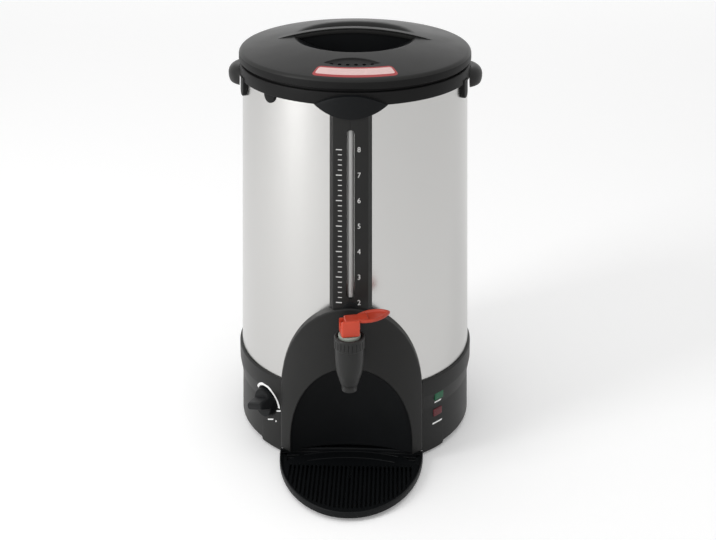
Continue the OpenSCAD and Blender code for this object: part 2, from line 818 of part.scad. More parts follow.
module tap_stem() color(steel) at_axis() at_tap() {
    post(stem_r, cup_low + 2, head_low + head_h);
    post(head_r, head_low, head_low + head_h);
    post(stem_r + 3, flange_z, flange_z + flange_h);
}

module tap_seat_cup() color(pale) at_axis() at_tap() difference() {
    rotate_extrude() polygon([[0, cup_low], [cup_r - 1, cup_low], [cup_r, cup_low + 1.5],
        [cup_r - 1.5, cup_low + cup_h], [0, cup_low + cup_h]]);
    post(stem_r + fit_gap, cup_low + 2 - fit_gap, cup_low + cup_h + over);
}

// Closed tube that winds up a helix; each ring has six sides
ring_sides = 6;
ring_count = 8 * spring_turns;
function coil_point(i, j) = let (t = 360 * spring_turns * i / ring_count, a = 360 * j / ring_sides,
    r = spring_r + wire_r * cos(a), low = spring_low + wire_r, high = spring_top - wire_r)
    [r * cos(t), r * sin(t), low + (high - low) * i / ring_count + wire_r * sin(a)];
coil_points = [for (i = [0 : ring_count]) for (j = [0 : ring_sides - 1]) coil_point(i, j)];
function ring_at(i, j) = i * ring_sides + (j % ring_sides);
coil_sides = [for (i = [0 : ring_count - 1]) for (j = [0 : ring_sides - 1]) for (half = [0, 1])
    half == 0 ? [ring_at(i, j), ring_at(i, j + 1), ring_at(i + 1, j)]
        : [ring_at(i, j + 1), ring_at(i + 1, j + 1), ring_at(i + 1, j)]];
last = ring_at(ring_count, 0);
coil_ends = concat([for (j = [1 : ring_sides - 2]) [0, j + 1, j]],
    [for (j = [1 : ring_sides - 2]) [last, last + j, last + j + 1]]);

module tap_spring() color(steel) at_axis() at_tap() polyhedron(coil_points, concat(coil_sides, coil_ends));

// Tap handle, turned to the side as it rests
module at_handle() at_tap() rotate([0, 0, lever_turn]) children();

module handle_block() color(red) at_axis() at_handle() difference() {
    translate([-block_w / 2, -block_w / 2, block_low]) cube([block_w, block_w, block_h]);
    translate([-channel_half, -channel_half, block_low + block_floor])
        cube([block_w, 2 * channel_half, block_h]);
    translate([-block_w, -channel_half, pin_z]) cube([block_w, 2 * channel_half, block_h]);
    translate([-block_w, 0, cheek_low]) cube([2 * block_w, block_w, block_h]);
    post(stem_r + 0.06, block_low - over, block_low + block_floor + over);
    translate([pin_x, block_w, pin_z]) rotate([90, 0, 0]) cylinder(h = 2 * block_w, r = pin_r + fit_gap);
}

module lever_pin() color(steel) at_axis() at_handle() translate([pin_x, block_w / 2 - pin_in, pin_z])
    rotate([90, 0, 0]) cylinder(h = block_w - 2 * pin_in, r = pin_r);

module tap_lever() color(red) at_axis() at_handle() difference() {
    union() {
        translate([nose_x, -lever_half, lever_low])
            cube([pin_x + 2.5 - nose_x, 2 * lever_half, lever_top - lever_low]);
        translate([pin_x, 0, lever_top]) rotate([0, -paddle_tilt, 0]) translate([-pin_x, 0, -paddle_t]) {
            difference() {
                translate([lever_reach / 2 + 1, 0, 0]) linear_extrude(paddle_t)
                    lens(lever_reach / 2 - 1, paddle_w / 2);
                translate([lever_reach / 2 + 3, 0, 1.4]) linear_extrude(paddle_t)
                    lens(lever_reach / 2 - 6, paddle_w / 2 - 2.5);
                translate([-block_w, -block_w, -over])
                    cube([block_w + block_w / 2 - 1, 2 * block_w, paddle_t + 2 * over]);
            }
            translate([pin_x - 1, -lever_half, 0]) cube([block_w / 2, 2 * lever_half, paddle_t - 0.4]);
        }
    }
    translate([nose_x - over, -head_r - 0.6, nose_top])
        cube([head_r - nose_x + 0.6 + over, 2 * head_r + 1.2, pocket_top - nose_top]);
    translate([nose_x - over, -stem_r - 0.5, lever_low - over])
        cube([stem_r - nose_x + 1.6 + over, 2 * stem_r + 1, nose_top - lever_low + 2 * over]);
    translate([pin_x, block_w, pin_z]) rotate([90, 0, 0]) cylinder(h = 2 * block_w, r = pin_r + fit_gap);
}

post_angles = [62, 118, -62, -118];
post_ring = base_in_r - 5;
base_screw_r = 1.75;
base_head_r = 3.4;

module at_posts() for (a = post_angles) around(a) translate([0, -post_ring, 0]) children();

module lamp_box(z, r_in, r_out, gap) translate([-lamp_w / 2 - gap, -r_out, z - lamp_h / 2 - gap])
    cube([lamp_w + 2 * gap, r_out - r_in, lamp_h + 2 * gap]);

module base_skirt() color(black) at_axis() difference() {
    union() {
        rotate_extrude($fn = 200) polygon([[base_in_r, skirt_z - front_drop], [base_r, skirt_z - front_drop],
            [base_r, flare_z], [flare_r, flare_top], [lip_r, wall_low + 3], [lip_r, base_h - 2.5],
            [lip_r - 1, base_h], [tank_r + fit_gap, base_h], [tank_r + fit_gap, wall_low],
            [base_in_r, wall_low]]);
        at_posts() post(6, plate_top, knob_z - 5);
    }
    translate([-gap_half, -lip_r - over, -over]) cube([2 * gap_half, lip_r, base_h + 2 * over]);
    rotate([0, 0, front_angle - 90]) rotate_extrude(angle = 360 - 2 * front_angle)
        translate([base_in_r - over, -over]) square([skirt_t + 2 * over, skirt_z + over]);
    at_posts() post(base_screw_r + fit_gap, plate_top - over, plate_top + 14);
    around(-knob_angle) radial(base_in_r - 3, base_r + over, knob_z, bush_r + 0.2);
    around(-knob_angle) radial(dial_seat, lip_r + over, knob_z, knob_r + 1);
    around(lamp_angle) for (z = lamp_z) lamp_box(z, base_in_r - 3, lip_r + over, fit_gap);
    around(180) radial(base_in_r - 3, base_r + over, gland_z, gland_bore + 4.3);
}

module base_plate() color(soft_black) at_axis() difference() {
    post(base_in_r - 0.2, foot_h, plate_top);
    translate([-gap_half, -tank_r, 0]) cube([2 * gap_half, tank_r - tray_back + 1, plate_top + over]);
    at_posts() post(base_screw_r + fit_gap, 0, plate_top + over);
    at_posts() post(base_head_r + fit_gap, 0, foot_h + 1.5);
}

foot_angles = [57, 123, -57, -123];
foot_ring = base_in_r - 20;

module base_feet() color([0.1, 0.1, 0.1]) at_axis() for (a = foot_angles) around(a)
    translate([0, -foot_ring, 0]) rotate_extrude()
    polygon([[0, 0], [foot_r - 1, 0], [foot_r, 1], [foot_r, foot_h], [0, foot_h]]);

module base_screws() color(steel) at_axis() at_posts() {
    post(base_head_r, foot_h, foot_h + 1.5);
    post(base_screw_r, foot_h + 1, plate_top + 12);
}

module heat_plate() color([0.7, 0.7, 0.72]) at_axis() post(heat_r, heat_low, plate_under);

module heating_ring() color([0.45, 0.42, 0.4]) at_axis() {
    rotate([0, 0, 110]) rotate_extrude(angle = 320)
        translate([ring_r, ring_z]) circle(ring_tube_r, $fn = 48);
    for (a = [110, 70]) rotate([0, 0, a])
        translate([ring_r, 0, 0]) post(ring_tube_r - 1, ring_z - 18, ring_z);
}

module cutout_switch() color([0.55, 0.25, 0.12]) at_axis() {
    post(9, heat_low - 9, heat_low);
    for (x = [-5, 5]) translate([x - 0.4, -3, heat_low - 16]) cube([0.8, 6, 8]);
}

module thermostat() color([0.6, 0.6, 0.6]) at_axis() around(-knob_angle) difference() {
    union() {
        radial(base_in_r - 28, base_in_r - 8, knob_z, 15);
        radial(base_in_r - 9, base_r + nut_t + 0.4, knob_z, bush_r);
    }
    radial(base_in_r - 18, base_r + nut_t + over, knob_z, spindle_r + fit_gap);
}

module thermostat_nut() color(brass) at_axis() around(-knob_angle) difference() {
    radial(dial_seat, dial_seat + nut_t, knob_z, bush_r + 3, 6);
    radial(dial_seat - over, dial_seat + nut_t + over, knob_z, bush_r + fit_gap);
}

module thermostat_spindle() color(steel) at_axis() around(-knob_angle)
    radial(base_in_r - 17.7, spindle_out, knob_z, spindle_r);

module knob() color(soft_black) at_axis() around(-knob_angle) difference() {
    union() {
        translate([0, -knob_front, knob_z]) rotate([-90, 0, 0])
            cylinder(h = knob_front - knob_back, r1 = knob_r - 1, r2 = knob_r);
        intersection() {
            radial(knob_front - 1, knob_front + grip_h, knob_z, knob_r - 0.6);
            translate([0, -knob_front + 1, knob_z]) rotate([0, knob_pointer, 0]) rotate([0, 90, 0])
                translate([0, 0, -knob_r]) linear_extrude(2 * knob_r)
                polygon([[-6, 0], [6, 0], [3, -grip_h - 1], [-3, -grip_h - 1]]);
        }
    }
    radial(knob_back - over, spindle_out + fit_gap, knob_z, spindle_r + fit_gap);
    radial(knob_back - over, base_r + nut_t + 0.8, knob_z, bush_r + 4);
}

module lamp(z) around(lamp_angle) {
    lamp_box(z, base_in_r - 3, skirt_at(z) + lamp_proud, 0);
    lamp_box(z, base_in_r - 3, base_in_r - 1, 1);
}

module lamp_green() color([0.08, 0.45, 0.22]) at_axis() lamp(lamp_z[0]);

module lamp_red() color([0.45, 0.10, 0.12]) at_axis() lamp(lamp_z[1]);

module lamp_holder() color([0.85, 0.85, 0.82]) at_axis() around(lamp_angle)
    translate([-lamp_w / 2 - 1, -base_in_r + 3, lamp_z[1] - lamp_h / 2 - 2])
    cube([lamp_w + 2, holder_d, lamp_pitch + lamp_h + 4]);

module terminal_block() color([0.85, 0.85, 0.82]) at_axis() difference() {
    translate([-term_w / 2, base_in_r - term_in, plate_top]) cube([term_w, term_d, term_h]);
    for (x = [-term_pitch, 0, term_pitch]) translate([x, base_in_r - term_in + term_d / 2, plate_top])
        post(term_r, term_h / 2, term_h + over);
}

module cable_gland() color(black) at_axis() around(180) difference() {
    union() {
        radial(base_in_r - 8, base_r + gland_out, gland_z, gland_bore + 4.2);
        radial(base_r, base_r + 2.5, gland_z, gland_bore + 7);
    }
    radial(base_in_r - 9, base_r + gland_out + over, gland_z, gland_bore);
}

module gland_nut() color(soft_black) at_axis() around(180) difference() {
    radial(base_in_r - 6, base_in_r - 1, gland_z, gland_bore + 8, 6);
    radial(base_in_r - 7, base_r, gland_z, gland_bore + 4.2 + fit_gap);
}

// Plan of the tray: half an ellipse in front, straight sides and a slightly bowed back
module tray_plan(margin) intersection() {
    polygon(concat([[tray_half - margin, tray_half - tray_back], [tray_half - margin, -tray_mid]],
        [for (i = [1 : 2 * arch_steps - 1]) let (t = 90 * i / arch_steps)
            [(tray_half - margin) * cos(t), -tray_mid - (tray_round - margin) * sin(t)]],
        [[margin - tray_half, -tray_mid], [margin - tray_half, tray_half - tray_back]]));
    translate([0, -tray_back - tray_bow_r]) circle(tray_bow_r - margin, $fn = 400);
}

module drip_tray() color(black) at_axis() {
    difference() {
        union() {
            translate([0, 0, rim_low]) linear_extrude(tray_rim) tray_plan(0);
            translate([0, 0, tray_low]) linear_extrude(tray_h / 2) tray_plan(tray_step);
            for (side = [-1, 1]) translate([side * tongue_x - tongue_w / 2, -tray_back - 12, tongue_low])
                cube([tongue_w, tongue_len + 12, tongue_h]);
        }
        translate([0, 0, ledge_top]) linear_extrude(tray_h) tray_plan(tray_t);
        translate([0, 0, tray_low + tray_t]) linear_extrude(tray_h) tray_plan(tray_step + tray_t);
    }
    for (x = [-rib_x, 0, rib_x]) translate([x - 1, -tray_front + rib_front, tray_low + tray_t / 2])
        cube([2, rib_len, rest_h + tray_t / 2]);
}

// Front end of the slot that lies at x
function slot_front(x) = -tray_mid - (tray_round - slot_margin) * sqrt(1 - pow(x / tray_half, 2));

module drip_grate() color(soft_black) at_axis() translate([0, 0, grate_low]) difference() {
    linear_extrude(grate_t) difference() {
        intersection() {
            tray_plan(grate_in);
            translate([0, -tray_back - tray_back_r]) circle(tray_back_r - grate_in, $fn = 200);
        }
        for (side = [-1, 1]) polygon([[side * grate_half / 2, corner_y + corner_slope * grate_half / 2],
            [side * 2 * grate_half, corner_y - corner_slope * grate_half],
            [side * 2 * grate_half, corner_y + corner_slope * grate_half / 2]]);
    }
    for (i = [-slots_half : slots_half]) let (x = i * grate_pitch)
        translate([x - grate_slot / 2, slot_front(x), -over])
        cube([grate_slot, -tray_back - slot_back - slot_front(x), grate_t + 2 * over]);
}

lid_shell();
lid_liner();
lid_seal();
lid_screws();
lid_strip();
collar();
handle_left();
handle_right();
handle_screws();
tank_wall();
tank_floor();
gauge_panel();
badge_plate();
sight_tube();
tube_seal();
gauge_elbow();
gauge_washer();
gauge_nut();
tap_shroud();
niche_liner();
tap_body();
tap_bonnet();
tap_washer();
tap_gasket();
tap_seal();
tap_nut();
tap_stem();
tap_seat_cup();
tap_spring();
handle_block();
tap_lever();
lever_pin();
base_skirt();
base_plate();
base_feet();
base_screws();
heat_plate();
heating_ring();
cutout_switch();
thermostat();
thermostat_nut();
thermostat_spindle();
knob();
lamp_green();
lamp_red();
lamp_holder();
terminal_block();
cable_gland();
gland_nut();
drip_tray();
drip_grate();
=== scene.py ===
import json
import math

import bmesh
import bpy
from mathutils import Matrix, Vector


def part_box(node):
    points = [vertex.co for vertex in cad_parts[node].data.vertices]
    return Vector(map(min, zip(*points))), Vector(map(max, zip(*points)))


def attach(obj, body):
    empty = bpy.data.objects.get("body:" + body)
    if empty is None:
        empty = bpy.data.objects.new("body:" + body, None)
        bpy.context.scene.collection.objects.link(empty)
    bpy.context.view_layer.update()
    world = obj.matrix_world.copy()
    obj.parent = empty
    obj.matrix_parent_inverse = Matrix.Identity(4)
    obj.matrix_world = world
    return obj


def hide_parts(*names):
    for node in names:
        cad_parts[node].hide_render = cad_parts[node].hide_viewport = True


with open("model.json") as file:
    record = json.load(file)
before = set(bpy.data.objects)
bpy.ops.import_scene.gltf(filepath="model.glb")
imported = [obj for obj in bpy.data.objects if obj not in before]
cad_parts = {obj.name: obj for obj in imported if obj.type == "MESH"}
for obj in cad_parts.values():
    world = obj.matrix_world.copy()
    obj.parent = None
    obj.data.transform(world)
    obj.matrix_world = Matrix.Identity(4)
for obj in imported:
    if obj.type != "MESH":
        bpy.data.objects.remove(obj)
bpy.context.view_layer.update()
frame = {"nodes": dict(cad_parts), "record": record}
scene = bpy.context.scene

# Sizes in millimetres about the urn's axis, read from the frame where it shows them
MM = 1000
tank_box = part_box("tank_wall")
AXIS = Vector(((tank_box[0].x + tank_box[1].x) / 2, (tank_box[0].y + tank_box[1].y) / 2, 0))


def span(node):
    low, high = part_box(node)
    return (low - AXIS) * MM, (high - AXIS) * MM


TANK_R = span("tank_wall")[1].x
WALL_LOW, WALL_TOP = span("tank_wall")[0].z, span("tank_wall")[1].z
LID_R, LID_Z, LID_TOP = span("lid_shell")[1].x, span("lid_shell")[0].z, span("lid_shell")[1].z
FIT_GAP, PRINT_PROUD = 0.3, 0.06
COLLAR_Z = span("gauge_panel")[1].z + FIT_GAP
COLLAR_R = TANK_R + 3.2
NECK_TOP = span("collar")[1].z
BASE_TOP = span("base_skirt")[1].z
BONNET = span("tap_bonnet")
TAP_Y = (BONNET[0].y + BONNET[1].y) / 2
SHROUD = span("tap_shroud")
TRAY = span("drip_tray")

# Mesh helpers
WELD, SLIVER, SHARP, SIDE_SHARE = 2e-6, 1e-6, 38, 0.49
QUARTER = math.pi / 2


class Mesh:
    """Points in millimetres about the urn's axis, with the faces between them."""

    def __init__(self):
        self.points, self.faces = [], []

    def rings(self, rings, closed=True, loop=False):
        start, count = len(self.points), len(rings[0])
        for ring in rings:
            self.points += [tuple(p) for p in ring]
        for i in range(len(rings) if loop else len(rings) - 1):
            a, b = start + i * count, start + (i + 1) % len(rings) * count
            for j in range(count if closed else count - 1):
                k = (j + 1) % count
                self.faces.append((a + j, a + k, b + k, b + j))
        return self

    def cap(self, ring):
        start = len(self.points)
        self.points += [tuple(p) for p in ring]
        self.faces.append(tuple(range(start, start + len(ring))))
        return self

    def add(self, other):
        start = len(self.points)
        self.points += other.points
        self.faces += [tuple(start + i for i in f) for f in other.faces]
        return self

    def moved(self, matrix):
        self.points = [tuple(matrix @ Vector(p)) for p in self.points]
        return self


def lathe(profile, steps, x=0.0, y=0.0, loop=False):
    """A piece turned about the upright at x and y. profile holds (distance from it, height)."""
    turns = [2 * math.pi * i / steps for i in range(steps)]
    rings = [[(x + r * math.sin(t), y - r * math.cos(t), z) for t in turns] for r, z in profile]
    return Mesh().rings(rings, loop=loop)


def rounded(points, radius, steps, loop=False):
    """An outline in the plane with its corners rounded. radius is one number, or one for each point."""
    points = [Vector(p) for p in points]
    out = []
    for i, p in enumerate(points):
        r = radius[i] if isinstance(radius, (list, tuple)) else radius
        if r == 0 or (not loop and i in (0, len(points) - 1)):
            out.append((p.x, p.y))
            continue
        a, b = points[i - 1] - p, points[(i + 1) % len(points)] - p
        half = a.angle(b) / 2
        reach = min(r / math.tan(half), SIDE_SHARE * a.length, SIDE_SHARE * b.length)
        r = reach * math.tan(half)
        middle = p + (a.normalized() + b.normalized()).normalized() * (r / math.sin(half))
        first, final = p + a.normalized() * reach - middle, p + b.normalized() * reach - middle
        sweep = first.angle_signed(final)
        for k in range(steps + 1):
            t = -sweep * k / steps
            out.append((middle.x + first.x * math.cos(t) - first.y * math.sin(t),
                        middle.y + first.x * math.sin(t) + first.y * math.cos(t)))
    return out


def spread(a, b, count):
    return [a + (b - a) * i / (count - 1) for i in range(count)]


def smooth_line(points, per=8):
    """A soft curve through the points of an outline."""
    pts = [Vector(p) for p in points]
    pts = [2 * pts[0] - pts[1]] + pts + [2 * pts[-1] - pts[-2]]
    out = []
    for i in range(1, len(pts) - 2):
        p0, p1, p2, p3 = pts[i - 1:i + 3]
        for k in range(per):
            t = k / per
            out.append(tuple(0.5 * (2 * p1 + (p2 - p0) * t + (2 * p0 - 5 * p1 + 4 * p2 - p3) * t * t
                                    + (3 * p1 - p0 - 3 * p2 + p3) * t ** 3)))
    return out + [tuple(pts[-2])]


def lens_outline(half, rise, steps=40):
    """A pointed oval: two arcs that meet at its ends."""
    r = (half ** 2 + rise ** 2) / (2 * rise)
    top = [(x, rise - r + math.sqrt(max(0, r * r - x * x))) for x in spread(half, -half, steps + 1)]
    return top + [(-x, -z) for x, z in top[1:-1]]


def on_wall(angle, side, z, r):
    """A point on a wall of radius r, side millimetres round it from angle (degrees from the front)."""
    a = math.radians(angle) + side / r
    return (r * math.sin(a), -r * math.cos(a), z)


def mesh_data(name, mesh):
    data = bpy.data.meshes.new(name)
    data.from_pydata([AXIS + Vector(p) / MM for p in mesh.points], [], mesh.faces)
    soft = bmesh.new()
    soft.from_mesh(data)
    bmesh.ops.remove_doubles(soft, verts=soft.verts, dist=WELD)
    bmesh.ops.dissolve_degenerate(soft, edges=soft.edges, dist=SLIVER)
    bmesh.ops.recalc_face_normals(soft, faces=soft.faces)
    soft.to_mesh(data)
    soft.free()
    return data


def smooth(obj, sharp):
    data = obj.data
    data.polygons.foreach_set("use_smooth", [True] * len(data.polygons))
    data.set_sharp_from_angle(angle=math.radians(sharp))


def finished(name, mesh, body, coat, nodes=()):
    obj = bpy.data.objects.new(name, mesh_data(name, mesh))
    scene.collection.objects.link(obj)
    smooth(obj, SHARP)
    obj.data.materials.append(coat)
    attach(obj, body)
    if nodes:
        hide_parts(*nodes)
    return obj


def cut(obj, *cutters):
    """Takes the cutters' space out of a piece."""
    for mesh in cutters:
        tool = bpy.data.objects.new("cutter", mesh_data("cutter", mesh))
        scene.collection.objects.link(tool)
        step = obj.modifiers.new("cut", "BOOLEAN")
        step.operation, step.solver, step.object = "DIFFERENCE", "EXACT", tool
        bpy.context.view_layer.update()
        made = bpy.data.meshes.new_from_object(obj.evaluated_get(bpy.context.evaluated_depsgraph_get()))
        obj.modifiers.clear()
        obj.data = made
        bpy.data.objects.remove(tool)
    smooth(obj, SHARP)


# Materials
IOR, RELIEF, FINE_DETAIL, SLOW_DETAIL = 1.46, 0.0004, 3, 4


def paint(name, colour, rough, metal=0.0, grain=1400, bump=0.06, tone=0.14, patch=35, rub=0.06,
          stretch=(1, 1, 1), clear=0.0, sheen=0.5):
    """A surface with a fine grain in its relief and slow patches in its colour and polish."""
    made = bpy.data.materials.new(name)
    made.use_nodes = True
    nodes, links = made.node_tree.nodes, made.node_tree.links
    shader = nodes["Principled BSDF"]
    where = nodes.new("ShaderNodeTexCoord")
    scale = nodes.new("ShaderNodeMapping")
    scale.inputs["Scale"].default_value = stretch
    links.new(where.outputs["Object"], scale.inputs["Vector"])
    fine, slow = nodes.new("ShaderNodeTexNoise"), nodes.new("ShaderNodeTexNoise")
    for noise, size, detail in ((fine, grain, FINE_DETAIL), (slow, patch, SLOW_DETAIL)):
        noise.inputs["Scale"].default_value = size
        noise.inputs["Detail"].default_value = detail
        links.new(scale.outputs["Vector"], noise.inputs["Vector"])
    blend = nodes.new("ShaderNodeMix")
    blend.data_type = "RGBA"
    blend.inputs["A"].default_value = (*[c * (1 - tone) for c in colour], 1)
    blend.inputs["B"].default_value = (*[min(1, c * (1 + tone)) for c in colour], 1)
    links.new(slow.outputs["Fac"], blend.inputs["Factor"])
    links.new(blend.outputs["Result"], shader.inputs["Base Color"])
    polish = nodes.new("ShaderNodeMapRange")
    polish.inputs["To Min"].default_value = rough - rub
    polish.inputs["To Max"].default_value = rough + rub
    links.new(slow.outputs["Fac"], polish.inputs["Value"])
    links.new(polish.outputs["Result"], shader.inputs["Roughness"])
    relief = nodes.new("ShaderNodeBump")
    relief.inputs["Strength"].default_value = bump
    relief.inputs["Distance"].default_value = RELIEF
    links.new(fine.outputs["Fac"], relief.inputs["Height"])
    links.new(relief.outputs["Normal"], shader.inputs["Normal"])
    shader.inputs["Metallic"].default_value = metal
    shader.inputs["Transmission Weight"].default_value = clear
    shader.inputs["IOR"].default_value = IOR
    shader.inputs["Specular IOR Level"].default_value = sheen
    return made


def lens_paint(name, colour):
    return paint(name, colour, 0.25, grain=500, bump=0.5, tone=0.3, patch=300, sheen=0.3)


def print_paint(name, colour, rough, tone):
    return paint(name, colour, rough, tone=tone, patch=180, bump=0.03)


PAINTS = {
    "black_plastic": paint("satin_black", (0.0165, 0.0165, 0.016), 0.42, sheen=0.20),
    "dark_plastic": paint("deep_black", (0.0058, 0.0064, 0.007), 0.46, sheen=0.14),
    "tap_plastic": paint("tap_black", (0.019, 0.019, 0.0185), 0.40, sheen=0.28),
    "steel_wall": paint("satin_steel", (0.56, 0.555, 0.544), 0.27, metal=1, grain=260, bump=0.0007,
                        tone=0.01, patch=20, rub=0.007, stretch=(1, 1, 14)),
    "fastener_steel": paint("plain_steel", (0.62, 0.62, 0.61), 0.32, metal=1, bump=0.03, tone=0.06),
    "red_plastic": paint("orange_red", (0.57, 0.061, 0.028), 0.36, tone=0.10, sheen=0.4),
    "silicone": paint("grey_silicone", (0.60, 0.60, 0.58), 0.6),
    "dark_rubber": paint("black_rubber", (0.018, 0.018, 0.018), 0.75, bump=0.15),
    "washer_plastic": paint("pale_washer", (0.30, 0.33, 0.29), 0.45),
    "clear_tube": paint("clear_tube", (0.55, 0.55, 0.54), 0.16, tone=0.05, clear=0.35, bump=0.02),
    "pale_strip": paint("pale_strip", (0.74, 0.51, 0.49), 0.5, grain=700, tone=0.16, patch=260,
                        stretch=(1, 2.5, 1)),
    "green_lens": lens_paint("green_lens", (0.0115, 0.109, 0.049)),
    "red_lens": lens_paint("red_lens", (0.122, 0.0205, 0.027)),
    "pale_plastic": paint("pale_plastic", (0.62, 0.61, 0.57), 0.5),
    "heater_metal": paint("cast_metal", (0.45, 0.45, 0.46), 0.5, metal=1, bump=0.2),
    "element_metal": paint("dull_metal", (0.22, 0.20, 0.18), 0.5, metal=1, bump=0.2),
    "switch_body": paint("brown_plastic", (0.16, 0.05, 0.02), 0.5),
    "nut_brass": paint("brass", (0.55, 0.40, 0.17), 0.35, metal=1),
}
WHITE_PRINT = print_paint("white_print", (0.90, 0.90, 0.89), 0.5, 0.08)
RED_PRINT = print_paint("red_print", (0.36, 0.028, 0.031), 0.45, 0.12)
GREY_PRINT = print_paint("grey_print", (0.66, 0.66, 0.65), 0.5, 0.12)
# An even darker black for the grate: painted shade under the shroud.
GRATE_SHADE_BLACK = paint("grate_painted_shade", (0.0035, 0.004, 0.0045), 0.5, sheen=0.08)
# A darker copy of the satin black: painted shade on the collar, the lid's rim and the lid's hollows.
SHADE_BLACK = paint("painted_shade_black", (0.0105, 0.0105, 0.0105), 0.46, sheen=0.11)
# A darker copy of the block's red for the lever: painted shade.
LEVER_SHADED_RED = paint("red_painted_shade", (0.44, 0.044, 0.020), 0.36, tone=0.10, sheen=0.4)
# DARK is the dark plastic of the knob, badge and boss, and also painted shade in the lid's pocket, the
# niche and the tray.
BLACK, DARK, STEEL = PAINTS["black_plastic"], PAINTS["dark_plastic"], PAINTS["fastener_steel"]

NODE_SHARP = 32
for part in frame["record"]["subparts"]:
    node = frame["nodes"][part["node"]]
    node.data.materials.clear()
    node.data.materials.append(PAINTS[part["material_slot"]])
    smooth(node, NODE_SHARP)
# The grate takes that darker black as painted shade.
frame["nodes"]["drip_grate"].data.materials[0] = GRATE_SHADE_BLACK

# Lid, with a pocket whose edge is crisp in front and soft behind
RIM_H, DOME_H, SHOULDER, LID_WALL = 9.0, 15.0, 4.5, 2.5
RIM_TOP = LID_Z + RIM_H
APEX = RIM_TOP + DOME_H
DOME_R = (LID_R ** 2 + DOME_H ** 2) / (2 * DOME_H)
DOME_C = APEX - DOME_R
POCKET_R, POCKET_DEEP, LIP_MARGIN = 62.0, 17.5, 3.0
LIP_CRISP, LIP_SOFT, LIP_WIDE, LIP_SHADE_DEPTH = 1.6, 16.0, 9.0, 0.8
LID_TURNS, SHOULDER_START, SEAT_WIDE = 360, LID_R - 8, 18.0


def dome(r):
    return DOME_C + math.sqrt(DOME_R ** 2 - r * r)


POCKET_FLOOR = dome(POCKET_R) - POCKET_DEEP
BOWL_R = (POCKET_R ** 2 + POCKET_DEEP ** 2) / (2 * POCKET_DEEP)
shoulder_line = [(SHOULDER_START, dome(SHOULDER_START)), (LID_R, dome(LID_R)), (LID_R, LID_Z),
                 (LID_R - LID_WALL, LID_Z), (LID_R - LID_WALL, RIM_TOP - 2), (LID_R - SEAT_WIDE, RIM_TOP)]
shoulder_line = rounded(shoulder_line, [0, SHOULDER, 0.8, 0.5, 1.5, 0], 10)


def pocket_lines(turn):
    """The bowl's line and the lid's line at one turn from the front."""
    soft = max(0.0, -math.cos(turn))
    inner = POCKET_R - LIP_MARGIN - LIP_WIDE * soft
    outer = POCKET_R + LIP_MARGIN + LIP_WIDE * soft
    hollow = [(r, POCKET_FLOOR + BOWL_R - math.sqrt(BOWL_R ** 2 - r * r)) for r in spread(0, inner, 30)]
    lip = [hollow[-1], (POCKET_R, dome(POCKET_R)), (outer, dome(outer))]
    lip = rounded(lip, LIP_CRISP + LIP_SOFT * soft, 8)
    return hollow, lip + [(r, dome(r)) for r in spread(outer, SHOULDER_START, 60)][1:-1] + shoulder_line


def turned(lines):
    """Rings of a turned piece whose outline changes on its way round."""
    turns = [2 * math.pi * i / len(lines) for i in range(len(lines))]
    rings = []
    for k in range(len(lines[0])):
        places = [(t, *line[k]) for t, line in zip(turns, lines)]
        rings.append([(r * math.sin(t), -r * math.cos(t), z) for t, r, z in places])
    return rings


lines = [pocket_lines(2 * math.pi * i / LID_TURNS) for i in range(LID_TURNS)]
cover = Mesh().rings(turned([line for _, line in lines]), loop=True)
lid = finished("lid_cover", cover, "lid", BLACK, ["lid_shell"])
bowl = Mesh().rings(turned([hollow for hollow, _ in lines]))
# The pocket's bowl is in the deep black: painted shade inside the pocket.
finished("lid_pocket_bowl", bowl, "lid", DARK)

# Steam holes in a shallow recess
VENTS, VENT_R, VENT_RING, VENT_PITCH, VENT_FLOOR = 6, 1.9, LID_R - 31.5, 8.0, RIM_TOP + 2
LENS_RING, LENS_HALF, LENS_RISE, LENS_DEEP, CUT_ABOVE = LID_R - 35.0, 27.2, 9.0, 1.2, 6.0
STRIP_IN, STRIP_OUT = LENS_RING + LENS_RISE + 2.5, LID_R - SHOULDER - 0.5
RECESS_BACK = VENT_RING - 14
RECESS_STEPS = ((0.0, LENS_DEEP), (0.5, LENS_DEEP), (0.93, LENS_DEEP), (1.0, LENS_DEEP * 0.4), (1.06, -0.6))
levels = []
for scale, drop in RECESS_STEPS:
    points = [(x * scale, -LENS_RING + y * scale) for x, y in lens_outline(LENS_HALF, LENS_RISE)]
    levels.append([(x, y, dome(math.hypot(x, y)) - drop) for x, y in points])
above = [(x, y, z + CUT_ABOVE) for x, y, z in levels[-1]]
recess = Mesh().rings(levels).cap(above)
recess.rings([levels[-1], above])
vents = Mesh()
for i in range(VENTS):
    x, y, _ = on_wall(0, (i - (VENTS - 1) / 2) * VENT_PITCH, 0, VENT_RING)
    well = [(0, VENT_FLOOR), (VENT_R, VENT_FLOOR), (VENT_R, APEX), (0, APEX)]
    vents.add(lathe(well, 32, x, y))
cut(lid, recess, vents)


def lid_coat(place):
    """A face's coat: 0 on the dome, 1 on the rim and in the hollows, 2 in the steam holes; 1 and 2 are
    darker blacks as painted shade.
    """
    x, y, z = place
    r = math.hypot(x, y)
    depth = dome(r) - z
    if y < 0 and abs(x) < LENS_HALF and RECESS_BACK < r < STRIP_IN and depth > LENS_DEEP / 3:
        return 2 if depth > LENS_DEEP * 1.2 else 1
    in_back_lip = y > 0 and r < POCKET_R + LIP_WIDE and depth > LIP_SHADE_DEPTH
    return 1 if in_back_lip or z < RIM_TOP - SHOULDER / 2 else 0


# Coats 1 and 2 are painted shade: a darker black on the rim, back lip and recess, the deep black in the
# steam holes.
lid.data.materials.append(SHADE_BLACK)
lid.data.materials.append(DARK)
for face in lid.data.polygons:
    face.material_index = lid_coat((face.center - AXIS) * MM)

